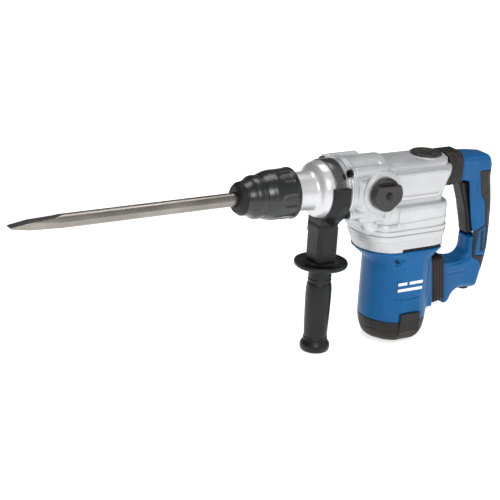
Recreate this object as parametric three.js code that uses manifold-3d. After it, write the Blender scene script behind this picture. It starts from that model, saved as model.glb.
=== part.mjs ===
// A corded rotary demolition hammer with a splined chuck, a flat chisel, a swivelling side
// handle, a vertical motor and a sprung D-shaped rear handle.
// Units are millimetres. +X points from the chisel to the rear handle, +Z is up, and the
// origin lies on the motor's axis, under the motor cap. Heights below are given from a datum
// 4 mm over the cap's underside.
import * as THREE from "three";
import { mergeVertices } from "three/addons/utils/BufferGeometryUtils.js";
import Module from "manifold-3d";

const wasm = await Module();
wasm.setup();

// ---- Driving dimensions ----
const GAP = 0.3; // clearance between pieces that touch
const AXIS_Z = 222; // height of the tool axis over the datum
const DATUM_Z = 4; // height of the datum over the motor cap's underside

const CHISEL = { tip: -580.5, length: 400, r: 9, edge: 13.5, taperStart: -508 };
const SPINDLE = { front: -262, rear: -12, noseR: 16, r: 19.5, bore: 15.3, shankBore: 9.4 };
const SLEEVE = { front: -262, rear: -188 };
const BARREL = { front: -190, flange: -114.5, rear: -111.8, neckR: 26.3, collarR: 38.6, flangeR: 42 };
const SCREW = { y: 34, z: 28.5, bossR: 7.5, headR: 5, headLength: 4.2, shankR: 2.6, length: 22 };

const CLAMP = { x: -128.7, bandR: 40.4, bandHalf: 8.5, front: -144, rear: -119.3, postRear: -112.6,
  postHalf: 17, armHalf: 46 };
const GRIP = { end: -11, flangeZ: 118, flangeR: 36.5, flangeUnder: 112.4, r: 17.2, endR: 20.7 };

const HOUSING = { front: -111.5, rear: 55, half: 44, roofR: 37, base: 157.3, shelf: 197 };
const PLATE = { base: 135, top: 157, front: -76, skirt: 131.5 };
const FOOT = { front: -70, half: 45.5, lip: 3.2 }; // where the gearbox meets the motor housing
const KNOB = { x: -68.5, z: 222, r: 22.3, face: -47, barFace: -60.5 };
const OIL_CAP = { x: 32, z: 254, r: 22 };

const MODULE = 1.25; // spur gears
const PINION_TEETH = 8;
const CRANK_TEETH = 30;
const INTERMEDIATE_TEETH = 30;
const CRANK_X = (MODULE * (PINION_TEETH + CRANK_TEETH)) / 2;
const INTERMEDIATE_X = (-MODULE * (PINION_TEETH + INTERMEDIATE_TEETH)) / 2;
const THROW = 11; // crank pin's distance from the crank axis
const ROD_LENGTH = 50;
const WRIST_X = CRANK_X - THROW - ROD_LENGTH;
const BEVEL = { module: 1.95, pinionTeeth: 8, ringTeeth: 28, face: 7 };

const MOTOR = {
  r: 46, front: -50.5, nose: 47.3, half: 44.7, bore: 42.5, base: 27, top: 134.6,
  capBase: -DATUM_Z,
};
const HANDLE = { half: 18.5, chamfer: 1.5, seam: 0.15, skin: 3 };
const REAR_FACE = { low: [50.2, 34.5], high: [41.3, 109] }; // leaning back of the motor housing
const BELLOWS = { wall: 3, ribs: 4, length: 20 };
const GUIDES = [ // tongues of the two housings that the rear handle slides on
  { x: 56, z: 232, length: 42 },
  { x: 44, z: 72, length: 46 },
];

// ---- Materials ----
const look = (color, roughness, metalness = 0) =>
  new THREE.MeshStandardMaterial({ color, roughness, metalness });
const LOOKS = {
  blue: look(0x1669aa, 0.45),
  castAluminium: look(0xc9cbcd, 0.42, 0.8),
  black: look(0x26272a, 0.6),
  softGrip: look(0x3a3532, 0.85),
  satinBlack: look(0x1d1f21, 0.38, 0.3),
  steel: look(0x9a958f, 0.35, 1),
  blackSteel: look(0x151515, 0.4, 0.8),
  brass: look(0xb08d45, 0.4, 1),
  copper: look(0xa55a33, 0.45, 0.9),
  carbon: look(0x2b2b2d, 0.7, 0.2),
};

// ---- Solids from three.js geometry ----
const WELD = 1e-4;

// A closed geometry as a solid: shared corners are merged and collapsed triangles dropped.
function solid(geometry) {
  const loose = geometry.index ? geometry.toNonIndexed() : geometry;
  const bare = new THREE.BufferGeometry();
  bare.setAttribute("position", loose.getAttribute("position"));
  const merged = mergeVertices(bare, WELD);
  const index = merged.index.array;
  const kept = [];
  for (let i = 0; i < index.length; i += 3) {
    const [a, b, c] = index.slice(i, i + 3);
    if (a !== b && b !== c && c !== a) kept.push(a, b, c);
  }
  const vertProperties = merged.attributes.position.array;
  const mesh = new wasm.Mesh({ numProp: 3, vertProperties, triVerts: new Uint32Array(kept) });
  return new wasm.Manifold(mesh);
}

const join = (...solids) => solids.reduce((whole, next) => whole.add(next));
const cut = (whole, ...tools) => tools.reduce((left, tool) => left.subtract(tool), whole);

// Box between two corners.
function block([x0, y0, z0], [x1, y1, z1]) {
  const box = new THREE.BoxGeometry(x1 - x0, y1 - y0, z1 - z0);
  return solid(box.translate((x0 + x1) / 2, (y0 + y1) / 2, (z0 + z1) / 2));
}

// Cylinders along each axis, between two stations and centred on a point of the cross plane.
function rodZ(r, z0, z1, [x, y] = [0, 0], sides = 16) {
  const rod = new THREE.CylinderGeometry(r, r, z1 - z0, sides).rotateX(Math.PI / 2);
  return solid(rod.translate(x, y, (z0 + z1) / 2));
}
function rodX(r, x0, x1, [y, z] = [0, 0], sides = 16) {
  const rod = new THREE.CylinderGeometry(r, r, x1 - x0, sides).rotateZ(-Math.PI / 2);
  return solid(rod.translate((x0 + x1) / 2, y, z));
}
function rodY(r, y0, y1, [x, z] = [0, 0], sides = 16) {
  const rod = new THREE.CylinderGeometry(r, r, y1 - y0, sides);
  return solid(rod.translate(x, (y0 + y1) / 2, z));
}

// Turned shape from [station, radius] pairs, about Z (turned) or X (turnedX).
// A profile that doesn't start and end on the axis closes on itself, as a ring.
function lathe(profile, sides) {
  const points = profile.map(([h, r]) => new THREE.Vector2(r, h));
  if (THREE.ShapeUtils.area(points) < 0) points.reverse();
  const ring = points[0].x > 0 || points.at(-1).x > 0;
  if (ring) points.push(points[0].clone());
  return new THREE.LatheGeometry(points, sides);
}
const turned = (profile, sides = 22) => solid(lathe(profile, sides).rotateX(Math.PI / 2));
const turnedX = (profile, sides = 22) => solid(lathe(profile, sides).rotateZ(-Math.PI / 2));

// Ring of rectangular section about Z or X.
const ring = (inner, outer, from, to, sides = 20) =>
  turned([[from, inner], [from, outer], [to, outer], [to, inner]], sides);
const ringX = (inner, outer, from, to, sides = 24) =>
  turnedX([[from, inner], [from, outer], [to, outer], [to, inner]], sides);

// Outline from [x, y, corner reach] triples: each corner is rounded by a short curve that
// starts and ends that far from it, or halfway along a shorter side.
const CORNER_STEPS = 2;
function outline(corners) {
  const at = corners.map(([x, y]) => new THREE.Vector2(x, y));
  const points = at.flatMap((corner, i) => {
    const radius = corners[i][2] ?? 0;
    if (!radius) return [corner];
    const towards = (other) => {
      const length = corner.distanceTo(other);
      return corner.clone().lerp(other, Math.min(radius, length * 0.49) / length);
    };
    const start = towards(at.at(i - 1));
    const end = towards(at[(i + 1) % at.length]);
    return new THREE.QuadraticBezierCurve(start, corner, end).getPoints(CORNER_STEPS);
  });
  return new THREE.Shape(points);
}

// Extrusion of a shape between two stations, with its edges chamfered by the given size.
function extruded(shape, from, to, chamfer) {
  const geometry = new THREE.ExtrudeGeometry(shape, {
    depth: to - from - 2 * chamfer,
    bevelEnabled: chamfer > 0,
    bevelThickness: chamfer,
    bevelSize: chamfer,
    bevelOffset: -chamfer,
    bevelSegments: 1,
  });
  return geometry.translate(0, 0, from + chamfer);
}
const plate = (shape, z0, z1, chamfer = 0) => solid(extruded(shape, z0, z1, chamfer));
// Outline in X and Z, between two Y stations.
const sideways = (shape, y0, y1, chamfer = 0) =>
  solid(extruded(shape, -y1, -y0, chamfer).rotateX(Math.PI / 2));
// Outline in Y and Z, between two X stations.
const endways = (shape, x0, x1, chamfer = 0) =>
  solid(extruded(shape, x0, x1, chamfer).rotateX(Math.PI / 2).rotateZ(Math.PI / 2));

// Solid through a stack of outlines of THREE.Vector3 points, lowest first, with equal counts.
function lofted(levels) {
  const count = levels[0].length;
  const index = [];
  for (let level = 0; level + 1 < levels.length; level++) {
    for (let i = 0; i < count; i++) {
      const a = level * count + i;
      const b = level * count + ((i + 1) % count);
      index.push(a, b, b + count, a, b + count, a + count);
    }
  }
  const top = (levels.length - 1) * count;
  for (const [a, b, c] of THREE.ShapeUtils.triangulateShape(levels[0], [])) {
    index.push(a, c, b, top + a, top + b, top + c);
  }
  const geometry = new THREE.BufferGeometry().setFromPoints(levels.flat());
  return solid(geometry.setIndex(index));
}
const atHeight = (z, points) => points.map(({ x, y }) => new THREE.Vector3(x, y, z));
const stack = (...levels) => lofted(levels.map(([z, points]) => atHeight(z, points)));

// Plan outline with a round nose towards -X, straight sides and rounded back corners.
function nosed({ front, back, half, nose, corner = 14 }) {
  const centre = front + nose;
  const swing = Math.asin(Math.min(1, half / nose));
  const arc = (x, y, r, from, to, steps) =>
    Array.from({ length: steps + 1 }, (_, i) => {
      const angle = from + ((to - from) * i) / steps;
      return new THREE.Vector2(x + r * Math.cos(angle), y + r * Math.sin(angle));
    });
  return [
    ...arc(centre, 0, nose, Math.PI - swing, Math.PI + swing, 12),
    ...arc(back - corner, corner - half, corner, -Math.PI / 2, 0, 3),
    ...arc(back - corner, half - corner, corner, 0, Math.PI / 2, 3),
  ];
}

// Corners of straight-flanked teeth: the angle of each, and its height above the pitch
// circle. The flanks leave some backlash.
function toothCorners(teeth, module, phase) {
  const [tip, root] = [0.7 * module, -1.25 * module];
  const corners = [[-0.56, root], [-0.21, tip], [0.21, tip], [0.56, root]];
  return Array.from({ length: teeth }, (_, i) =>
    corners.map(([share, height]) => [phase + ((2 * i + share) * Math.PI) / teeth, height])
  ).flat();
}
function spurGear(teeth, module, z0, z1, phase = 0) {
  const pitch = (module * teeth) / 2;
  const points = toothCorners(teeth, module, phase).map(([angle, height]) =>
    new THREE.Vector2(Math.cos(angle), Math.sin(angle)).multiplyScalar(pitch + height));
  return plate(new THREE.Shape(points), z0, z1);
}

// Bevel gear about Z: the outer end lies a distance below the origin, where the shafts
// cross, and the teeth stand square to the pitch cone and narrow towards the origin.
function bevelGear(teeth, module, distance, face, phase = 0) {
  const pitch = (module * teeth) / 2;
  const cone = Math.hypot(pitch, distance);
  const end = toothCorners(teeth, module, phase).map(([angle, height]) => {
    const r = pitch + (height * distance) / cone;
    return new THREE.Vector3(r * Math.cos(angle), r * Math.sin(angle),
      (height * pitch) / cone - distance);
  });
  return lofted([end, end.map((point) => point.clone().multiplyScalar(1 - face / cone))]);
}

// Coil spring along X: a square wire swept along a helix.
function coilX(radius, wire, x0, x1, turns) {
  const steps = turns * 8;
  const points = Array.from({ length: steps + 1 }, (_, i) => {
    const angle = (i / steps) * turns * 2 * Math.PI;
    const x = x0 + wire + ((x1 - x0 - 2 * wire) * i) / steps;
    return new THREE.Vector3(x, radius * Math.cos(angle), radius * Math.sin(angle));
  });
  const corners = [[wire, 0], [0, wire], [-wire, 0], [0, -wire]];
  const section = new THREE.Shape(corners.map(([x, y]) => new THREE.Vector2(x, y)));
  const path = new THREE.CatmullRomCurve3(points);
  return solid(new THREE.ExtrudeGeometry(section, { steps, bevelEnabled: false, extrudePath: path }));
}

// ---- Assembly ----
const hammer = new THREE.Group();
hammer.position.z = DATUM_Z;
const toolLine = new THREE.Group(); // pieces modelled about the tool axis
toolLine.position.z = AXIS_Z;
const crankLine = new THREE.Group(); // pieces modelled about the crank's vertical axis
crankLine.position.x = CRANK_X;
const intermediateLine = new THREE.Group(); // pieces modelled about the intermediate shaft
intermediateLine.position.x = INTERMEDIATE_X;
hammer.add(toolLine, crankLine, intermediateLine);

function piece(group, name, body, material) {
  const made = body.getMesh();
  const geometry = new THREE.BufferGeometry();
  geometry.setAttribute("position", new THREE.BufferAttribute(made.vertProperties, 3));
  geometry.setIndex(new THREE.BufferAttribute(made.triVerts, 1));
  const flat = geometry.toNonIndexed();
  flat.computeVertexNormals();
  const mesh = new THREE.Mesh(flat, material);
  mesh.name = name;
  group.add(mesh);
}

// ---- Chisel, chuck and spindle ----
function addChisel() {
  const { tip, length, r, edge, taperStart } = CHISEL;
  const rear = tip + length;
  const shaft = turnedX([[tip - 1, 0], [tip - 1, r], [rear - 2, r], [rear, r - 2], [rear, 0]], 16);
  const sideView = outline([
    [tip, -0.5], [taperStart - 47, -4.7], [taperStart - 14, -6.6], [taperStart, -r - 1],
    [rear + 1, -r - 1], [rear + 1, r + 1], [taperStart, r + 1], [taperStart - 14, 6.6],
    [taperStart - 47, 4.7], [tip, 0.5],
  ]);
  const topView = outline([
    [tip - 1, -edge / 2], [taperStart + 20, -r - 1], [rear + 1, -r - 1],
    [rear + 1, r + 1], [taperStart + 20, r + 1], [tip - 1, edge / 2],
  ]);
  const wedge = shaft.intersect(sideways(sideView, -r - 2, r + 2));
  const blade = wedge.intersect(plate(topView, -r - 2, r + 2));
  const lockSlots = [1, -1].map((side) =>
    block([rear - 76, side > 0 ? 5.4 : -r - 1, -3.4], [rear - 45, side > 0 ? r + 1 : -5.4, 3.4]));
  const splines = [90, 210, 330].map((degrees) => {
    const angle = THREE.MathUtils.degToRad(degrees);
    const groove = new THREE.BoxGeometry(50, 3, 5).translate(rear - 23, 0, r);
    return solid(groove.rotateX(angle - Math.PI / 2));
  });
  piece(toolLine, "chisel", cut(blade, ...lockSlots, ...splines), LOOKS.steel);
}

function addChuck() {
  const { front, rear } = SPINDLE;
  const cylinderStart = -122;
  const strikerStart = -176;
  const tube = turnedX([
    [front, SPINDLE.shankBore], [front, SPINDLE.noseR], [-200, SPINDLE.noseR],
    [-200, SPINDLE.r], [rear, SPINDLE.r], [rear, SPINDLE.bore],
    [cylinderStart, SPINDLE.bore], [cylinderStart, 11.2], [strikerStart, 11.2],
    [strikerStart, SPINDLE.shankBore],
  ]);
  const rollerPockets = [1, -1].map((side) =>
    block([-243.5, side > 0 ? 3 : -20, -3.6], [-226.5, side > 0 ? 20 : -3, 3.6]));
  piece(toolLine, "spindle", cut(tube, ...rollerPockets), LOOKS.steel);
  [["left", -1], ["right", 1]].forEach(([side, sign]) => {
    const y = sign * 9.5;
    piece(toolLine, "lock_roller_" + side, rodX(3.1, -243, -227, [y, 0], 12), LOOKS.steel);
  });
  const cap = turnedX([
    [-270, 9.6], [-270, 17], [-266.5, 20.3], [-264, 22.3], [-262.3, 22.3], [-262.3, 9.6],
  ]);
  piece(toolLine, "dust_cap", cap, LOOKS.softGrip);

  // The sleeve's outside steps up to a grip ring and a rear rim; flutes leave finger room.
  const shell = turnedX([
    [SLEEVE.front, 16.6], [SLEEVE.front, 22.3], [-254, 23.9], [-249.5, 26.4], [-243.5, 28.6],
    [-236, 28.2], [-222.5, 32.8], [-198, 33.5], [-192, 34.3], [SLEEVE.rear, 34.3],
    [SLEEVE.rear, 27.2], [-216, 27.2], [-216, 24.5], [-246, 24.5], [-246, 16.6],
  ], 24);
  const flutes = Array.from({ length: 6 }, (_, i) => {
    const angle = ((i + 0.5) * Math.PI) / 3;
    const flute = new THREE.CylinderGeometry(9, 9, 25, 10).rotateZ(-Math.PI / 2);
    return solid(flute.translate(-206.5, 0, 40.4).rotateX(angle));
  });
  piece(toolLine, "chuck_sleeve", cut(shell, ...flutes), LOOKS.satinBlack);
  piece(toolLine, "chuck_spring", coilX(20.6, 1.3, -235.5, -201, 4), LOOKS.steel);
}

function addStrikers() {
  const striker = turnedX([
    [-169.7, 0], [-169.7, 8.6], [-160, 8.6], [-157, 10.8], [-130, 10.8], [-128, 7], [-112, 7],
    [-112, 0],
  ], 16);
  piece(toolLine, "beat_piece", striker, LOOKS.steel);
  const ram = turnedX([
    [-101, 0], [-101, 10], [-99, 14.9], [-86, 14.9], [-86, 13.4], [-82, 13.4], [-82, 14.9],
    [-70, 14.9], [-70, 0],
  ], 16);
  piece(toolLine, "ram", ram, LOOKS.steel);

  const crown = WRIST_X - 21;
  const skirt = WRIST_X + 11;
  const cup = turnedX([
    [crown, 0], [crown, 14.9], [skirt, 14.9], [skirt, 10.4], [WRIST_X - 10.4, 10.4],
    [WRIST_X - 10.4, 0],
  ], 16);
  const pinHole = rodZ(3.6, -16, 16, [WRIST_X, 0], 12);
  piece(toolLine, "piston", cut(cup, pinHole), LOOKS.castAluminium);
  piece(toolLine, "wrist_pin", rodZ(3.3, -13.6, 13.6, [WRIST_X, 0], 12), LOOKS.steel);

  const bigEnd = CRANK_X - THROW;
  const rod = join(
    rodZ(8.5, -6, 6, [bigEnd, 0]), rodZ(6.8, -6, 6, [WRIST_X, 0]),
    block([WRIST_X, -3.6, -4], [bigEnd, 3.6, 4]));
  const eyes = [rodZ(3.7, -7, 7, [WRIST_X, 0], 12), rodZ(5.3, -7, 7, [bigEnd, 0], 12)];
  piece(toolLine, "con_rod", cut(rod, ...eyes), LOOKS.castAluminium);
}

function addSpindleBearings() {
  piece(toolLine, "spindle_bearing_front", ringX(19.8, 23.2, -186, -172), LOOKS.brass);
  piece(toolLine, "spindle_bearing_rear", ringX(19.8, 29, -110, -100), LOOKS.steel);
}

// ---- Front barrel and its screws ----
const screwPlaces = [[-1, 1], [-1, -1], [1, -1], [1, 1]].map(([y, z]) => [
  y * SCREW.y,
  z * SCREW.z,
]);

function addFrontBarrel() {
  const { front, flange, rear, neckR, collarR, flangeR } = BARREL;
  const body = turnedX([
    [front, 20.6], [front, neckR], [-160, neckR], [-154, 33], [-147, 36], [-140, collarR],
    [-120, collarR], [-118, 36.5], [flange, 36.5], [flange, flangeR], [rear, flangeR],
    [rear, 32], [-135, 32], [-160, 20.6],
  ], 28);
  const ears = screwPlaces.map((place) => rodX(SCREW.bossR, flange, rear, place, 14));
  const holes = screwPlaces.map((place) => rodX(SCREW.shankR + GAP, flange - 1, rear + 1, place, 8));
  const seat = rodX(23.5, -186.3, -171.7, [0, 0], 24);
  const seatedBody = cut(join(body, ...ears), ...holes, seat);
  piece(toolLine, "front_barrel", seatedBody, LOOKS.castAluminium);
  screwPlaces.forEach((place, i) => {
    const under = flange - GAP;
    const head = rodX(SCREW.headR, under - SCREW.headLength, under, place);
    const shank = rodX(SCREW.shankR, under - 1, under + SCREW.length, place, 8);
    const socket = rodX(2.4, under - SCREW.headLength - 1, under - 1.6, place, 6);
    piece(toolLine, "barrel_screw_" + (i + 1), cut(join(head, shank), socket), LOOKS.blackSteel);
  });
}

// ---- Side handle ----
function addSideHandle() {
  const { x, bandR, bandHalf, front, rear, postRear, postHalf, armHalf } = CLAMP;
  const bandInner = BARREL.collarR + GAP;
  const band = ringX(bandInner, bandR, x - 1.8 - bandHalf, x - 1.8 + bandHalf, 28);
  piece(toolLine, "clamp_band", band, LOOKS.steel);

  const postEnd = GRIP.flangeZ - AXIS_Z + 3;
  const arms = endways(outline([
    [-postHalf, postEnd, 4], [postHalf, postEnd, 4], [postHalf, -48, 6], [armHalf, -22, 10],
    [armHalf, 11, 2], [-armHalf, 11, 2], [-armHalf, -22, 10], [-postHalf, -48, 6],
  ]), front, rear, 1.5);
  const post = plate(outline([
    [front + 5, -postHalf, 5], [postRear, -postHalf, 5], [postRear, postHalf, 5],
    [front + 5, postHalf, 5],
  ]), postEnd, -54);
  const bandRoom = rodX(bandR + GAP, x - 2.1 - bandHalf, x - 1.5 + bandHalf, [0, 0], 28);
  const collarRoom = rodX(bandInner + 0.1, front - 5, rear + 5, [0, 0], 28);
  const boltRoom = rodZ(4.4, postEnd - 1, -39, [x, 0], 12);
  const yoke = cut(join(arms, post), bandRoom, collarRoom, boltRoom);
  piece(toolLine, "clamp_yoke", yoke, LOOKS.black);
  const bolt = rodZ(4, postEnd - 46, -bandR - 1.2, [x, 0], 12);
  piece(toolLine, "clamp_bolt", bolt, LOOKS.steel);

  const { end, flangeZ, flangeR, flangeUnder, r, endR } = GRIP;
  const grip = turned([
    [end, 0], [end, endR - 2.2], [end + 3, endR - 0.4], [end + 8, endR], [end + 14, 18.4],
    [end + 19, 16.2], [40, r], [75, 17.6],
    [93, 15.8], [flangeUnder - 0.5, 15.6], [flangeUnder, flangeR - 1.5], [flangeUnder + 1.5, flangeR],
    [flangeZ + 1, flangeR], [flangeZ + 1.2, 20], [flangeZ + 2.6, 19], [flangeZ + 2.6, 0],
  ]);
  const well = rodZ(8.2, 72, flangeZ + 4, [0, 0], 12);
  const grips = new THREE.Group();
  grips.position.x = x;
  hammer.add(grips);
  piece(grips, "side_grip", cut(grip, well), LOOKS.black);
  piece(grips, "grip_insert", ring(4.4, 7.9, 74, 100, 16), LOOKS.brass);
}

// ---- Gearbox castings ----
const roofAngles = [50, 70, 90, 110, 130];
const roofPoints = (r) =>
  roofAngles.map((degrees) => {
    const angle = THREE.MathUtils.degToRad(degrees);
    return [r * Math.cos(angle), AXIS_Z + r * Math.sin(angle)];
  });
// Cross section of the gearbox: flat flanks under a round roof.
const section = (half, roof, floor) =>
  outline([
    [half, floor], [half, 236], [half - 5, 243], ...roofPoints(roof), [5 - half, 243],
    [-half, 236], [-half, floor],
  ]);

// Plan of the castings: the corners at the back are rounded.
const REAR_CORNER = 22;
const lowerPlan = (inset, front = PLATE.front) =>
  nosed({ front: front + inset, back: HOUSING.rear - 1.5 - inset, half: 46 - inset,
    nose: 60 - inset, corner: REAR_CORNER - inset });
const footPlan = (inset) =>
  nosed({ front: FOOT.front + inset, back: HOUSING.rear - 3 - inset, half: FOOT.half - inset,
    nose: FOOT.half + 2.5 - inset, corner: REAR_CORNER - inset });
const upperPlan = (inset) =>
  plate(outline([
    [HOUSING.front - 1, -60], [10, -60], [10, inset - HOUSING.half],
    [HOUSING.rear + 5 - inset, inset - HOUSING.half, 28 - inset],
    [HOUSING.rear + 5 - inset, HOUSING.half - inset, 28 - inset],
    [10, HOUSING.half - inset], [10, 60], [HOUSING.front - 1, 60],
  ]), 150, 280);

function addGearHousing() {
  const { front, rear, half, roofR, base, shelf } = HOUSING;
  const roofCut = block([6, -60, OIL_CAP.z], [rear + 20, 60, 300]);
  const backCut = sideways(outline([
    [90, 229], [rear + 5.1, 229], [51, 225], [49.5, 218], [45.5, 209], [45.5, shelf + 6],
    [90, shelf + 6],
  ]), -60, 60);
  const shape = endways(section(half, roofR, 190), front, rear + 5).intersect(upperPlan(0));
  const upper = cut(shape, roofCut, backCut);
  const crankcase = stack(
    [base, lowerPlan(-1)], [165, lowerPlan(-1)], [165.2, lowerPlan(1)],
    [190, lowerPlan(0, -80)], [shelf, lowerPlan(3, -80)]);
  const chin = sideways(outline([
    [front, 184], [front, 200], [-40, 200], [-40, base + 2], [-75, base + 2], [-81, 172],
    [-94, 180],
  ]), -30, 30, 1.5);
  const frontRing = rodX(BARREL.flangeR, front, front + 26, [0, AXIS_Z], 28);
  const bosses = screwPlaces.map(([y, z]) =>
    rodX(SCREW.bossR, front, front + 30, [y, AXIS_Z + z], 14));
  const knobBoss = rodY(26, KNOB.face, -30, [KNOB.x, KNOB.z], 24);
  const pad = rodZ(25, 245, OIL_CAP.z, [OIL_CAP.x, 0], 24);
  const [guide] = GUIDES;
  const tongue = rodX(5, guide.x, guide.x + guide.length, [0, guide.z], 12);
  const outside = join(upper, crankcase, chin, tongue, frontRing, ...bosses, knobBoss, pad);

  const crankRoom = endways(section(half - 6, roofR - 6, 182), front + 14, rear - 14)
    .intersect(upperPlan(7));
  const webRoom = rodZ(20.5, 184, shelf + 5, [CRANK_X, 0], 24);
  // The big end of the connecting rod reaches furthest back here.
  const rodRoom = block([rear - 20, -17, AXIS_Z - 8], [rear - 10.5, 17, AXIS_Z + 8]);
  const bearingRoom = rodX(29.3, front - 1, front + 15, [0, AXIS_Z], 24);
  const gearRoom = stack([base - 1, lowerPlan(7)], [168, lowerPlan(7)]);
  const crankSeat = rodZ(16.3, 160, 190, [CRANK_X, 0]);
  const intermediateSeat = rodZ(5.4, 160, 190, [INTERMEDIATE_X, 0], 12);
  const oilHole = rodZ(18.3, 240, 270, [OIL_CAP.x, 0]);
  const knobHole = rodY(7.3, KNOB.face - 1, -30, [KNOB.x, KNOB.z], 14);
  const screwHoles = screwPlaces.map(([y, z]) =>
    rodX(SCREW.shankR + GAP, front - 1, front + 22, [y, AXIS_Z + z], 8));
  const housing = cut(outside, crankRoom, webRoom, rodRoom, bearingRoom, gearRoom, crankSeat,
    intermediateSeat, oilHole, knobHole, ...screwHoles);
  piece(hammer, "gear_housing", housing, LOOKS.castAluminium);
}

function addBearingPlate() {
  const { base, top, skirt } = PLATE;
  const foot = footPlan;
  const outside = stack(
    [skirt, foot(0)], [base, foot(0)], [base + 9, lowerPlan(2)], [top - 3, lowerPlan(0)],
    [top, lowerPlan(-1)]);
  const spigotRoom = stack([skirt - 1, foot(FOOT.lip)], [base, foot(FOOT.lip)]);
  const room = stack([base + 6, foot(6)], [top + 1, lowerPlan(7)]);
  const shaftHole = rodZ(7, base - 1, base + 8, [0, 0], 12);
  const body = cut(outside, room, shaftHole, spigotRoom);
  piece(hammer, "bearing_plate", body, LOOKS.castAluminium);
}

function addOilCap() {
  const { x, z, r } = OIL_CAP;
  const slots = [0, 1, 2, 3].map((i) => {
    const slot = new THREE.BoxGeometry(7, 3.4, 4).translate(11.5, 0, z + 2.4);
    return solid(slot.rotateZ((i * Math.PI) / 2).translate(x, 0, 0));
  });
  const disc = rodZ(r, z + GAP, z + 3, [x, 0], 24);
  const stem = rodZ(17.9, z - 10, z + 1, [x, 0], 24);
  const hollow = rodZ(14, z - 11, z - 3, [x, 0]);
  const groove = cut(rodZ(19, z - 5, z - 2.4, [x, 0]), rodZ(16.6, z - 6, z - 1, [x, 0]));
  piece(hammer, "oil_cap", cut(join(disc, stem), hollow, groove, ...slots), LOOKS.black);
  const seal = ring(16.8, 18.1, z - 4.8, z - 2.6, 16);
  const seals = new THREE.Group();
  seals.position.x = x;
  hammer.add(seals);
  piece(seals, "oil_cap_seal", seal, LOOKS.softGrip);
}

function addModeKnob() {
  const { x, z, r, face, barFace } = KNOB;
  const place = [x, z];
  const base = face - GAP;
  const disc = rodY(r, base - 6, base, place, 24);
  const bar = sideways(
    outline([
      [x - 20.5, z - 13, 7], [x + 18.5, z - 12, 6], [x + 21.5, z + 5, 4], [x + 16, z + 14, 3],
      [x - 19.5, z + 12, 3],
    ]),
    barFace, base - 1, 1.5);
  const stem = rodY(7, base - 1, -33, place, 20);
  const buttonWell = rodY(4.6, barFace - 1, barFace + 7, place, 16);
  const knob = cut(join(disc, bar, stem), buttonWell);
  piece(hammer, "mode_knob", knob, LOOKS.black);
  const button = rodY(4.2, barFace - 1.2, barFace + 4, place, 16);
  piece(hammer, "mode_button", button, LOOKS.blackSteel);
}

// ---- Crank drive ----
const GEAR_Z = [143, 152];

function addCrankDrive() {
  const [gearBase, gearTop] = GEAR_Z;
  const shaft = join(
    rodZ(5, gearBase - 1, 190, [0, 0], 14), rodZ(20, 188, 200), rodZ(5, 199, AXIS_Z - 6 - GAP, [-THROW, 0]));
  piece(crankLine, "crank_shaft", shaft, LOOKS.steel);
  const halfTooth = Math.PI / CRANK_TEETH;
  const gear = cut(spurGear(CRANK_TEETH, MODULE, gearBase, gearTop, Math.PI + halfTooth),
    rodZ(5 + GAP, 100, 200, [0, 0], 14));
  piece(crankLine, "crank_gear", gear, LOOKS.steel);
  piece(crankLine, "crank_bearing", ring(5 + GAP, 16, 169, 181, 24), LOOKS.steel);

  const bevelHeight = (BEVEL.module * BEVEL.ringTeeth) / 2;
  const pinion = bevelGear(BEVEL.pinionTeeth, BEVEL.module, bevelHeight, BEVEL.face)
    .translate([0, 0, AXIS_Z]);
  const stalk = rodZ(5, gearBase - 1, AXIS_Z - bevelHeight + 1, [0, 0], 12);
  piece(intermediateLine, "intermediate_shaft", join(stalk, pinion), LOOKS.steel);
  const wheel = cut(spurGear(INTERMEDIATE_TEETH, MODULE, gearBase, gearTop, Math.PI / INTERMEDIATE_TEETH),
    rodZ(5 + GAP, 100, 200, [0, 0], 12));
  piece(intermediateLine, "intermediate_gear", wheel, LOOKS.steel);

  const ringDistance = (BEVEL.module * BEVEL.pinionTeeth) / 2;
  const ringPhase = Math.PI / BEVEL.ringTeeth;
  const toothed = bevelGear(BEVEL.ringTeeth, BEVEL.module, ringDistance, BEVEL.face, ringPhase);
  const standing = toothed.rotate([0, 90, 0]).translate([INTERMEDIATE_X, 0, 0]);
  const meshX = INTERMEDIATE_X - ringDistance;
  const back = rodX(bevelHeight - 2.5, meshX - 6, meshX - 0.5);
  const bore = rodX(SPINDLE.r + 2 * GAP, -60, -10, [0, 0], 20);
  piece(toolLine, "ring_gear", cut(join(standing, back), bore), LOOKS.steel);
}

// ---- Motor ----
const HOUSING_SCREW = [-29, 117.5];

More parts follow.
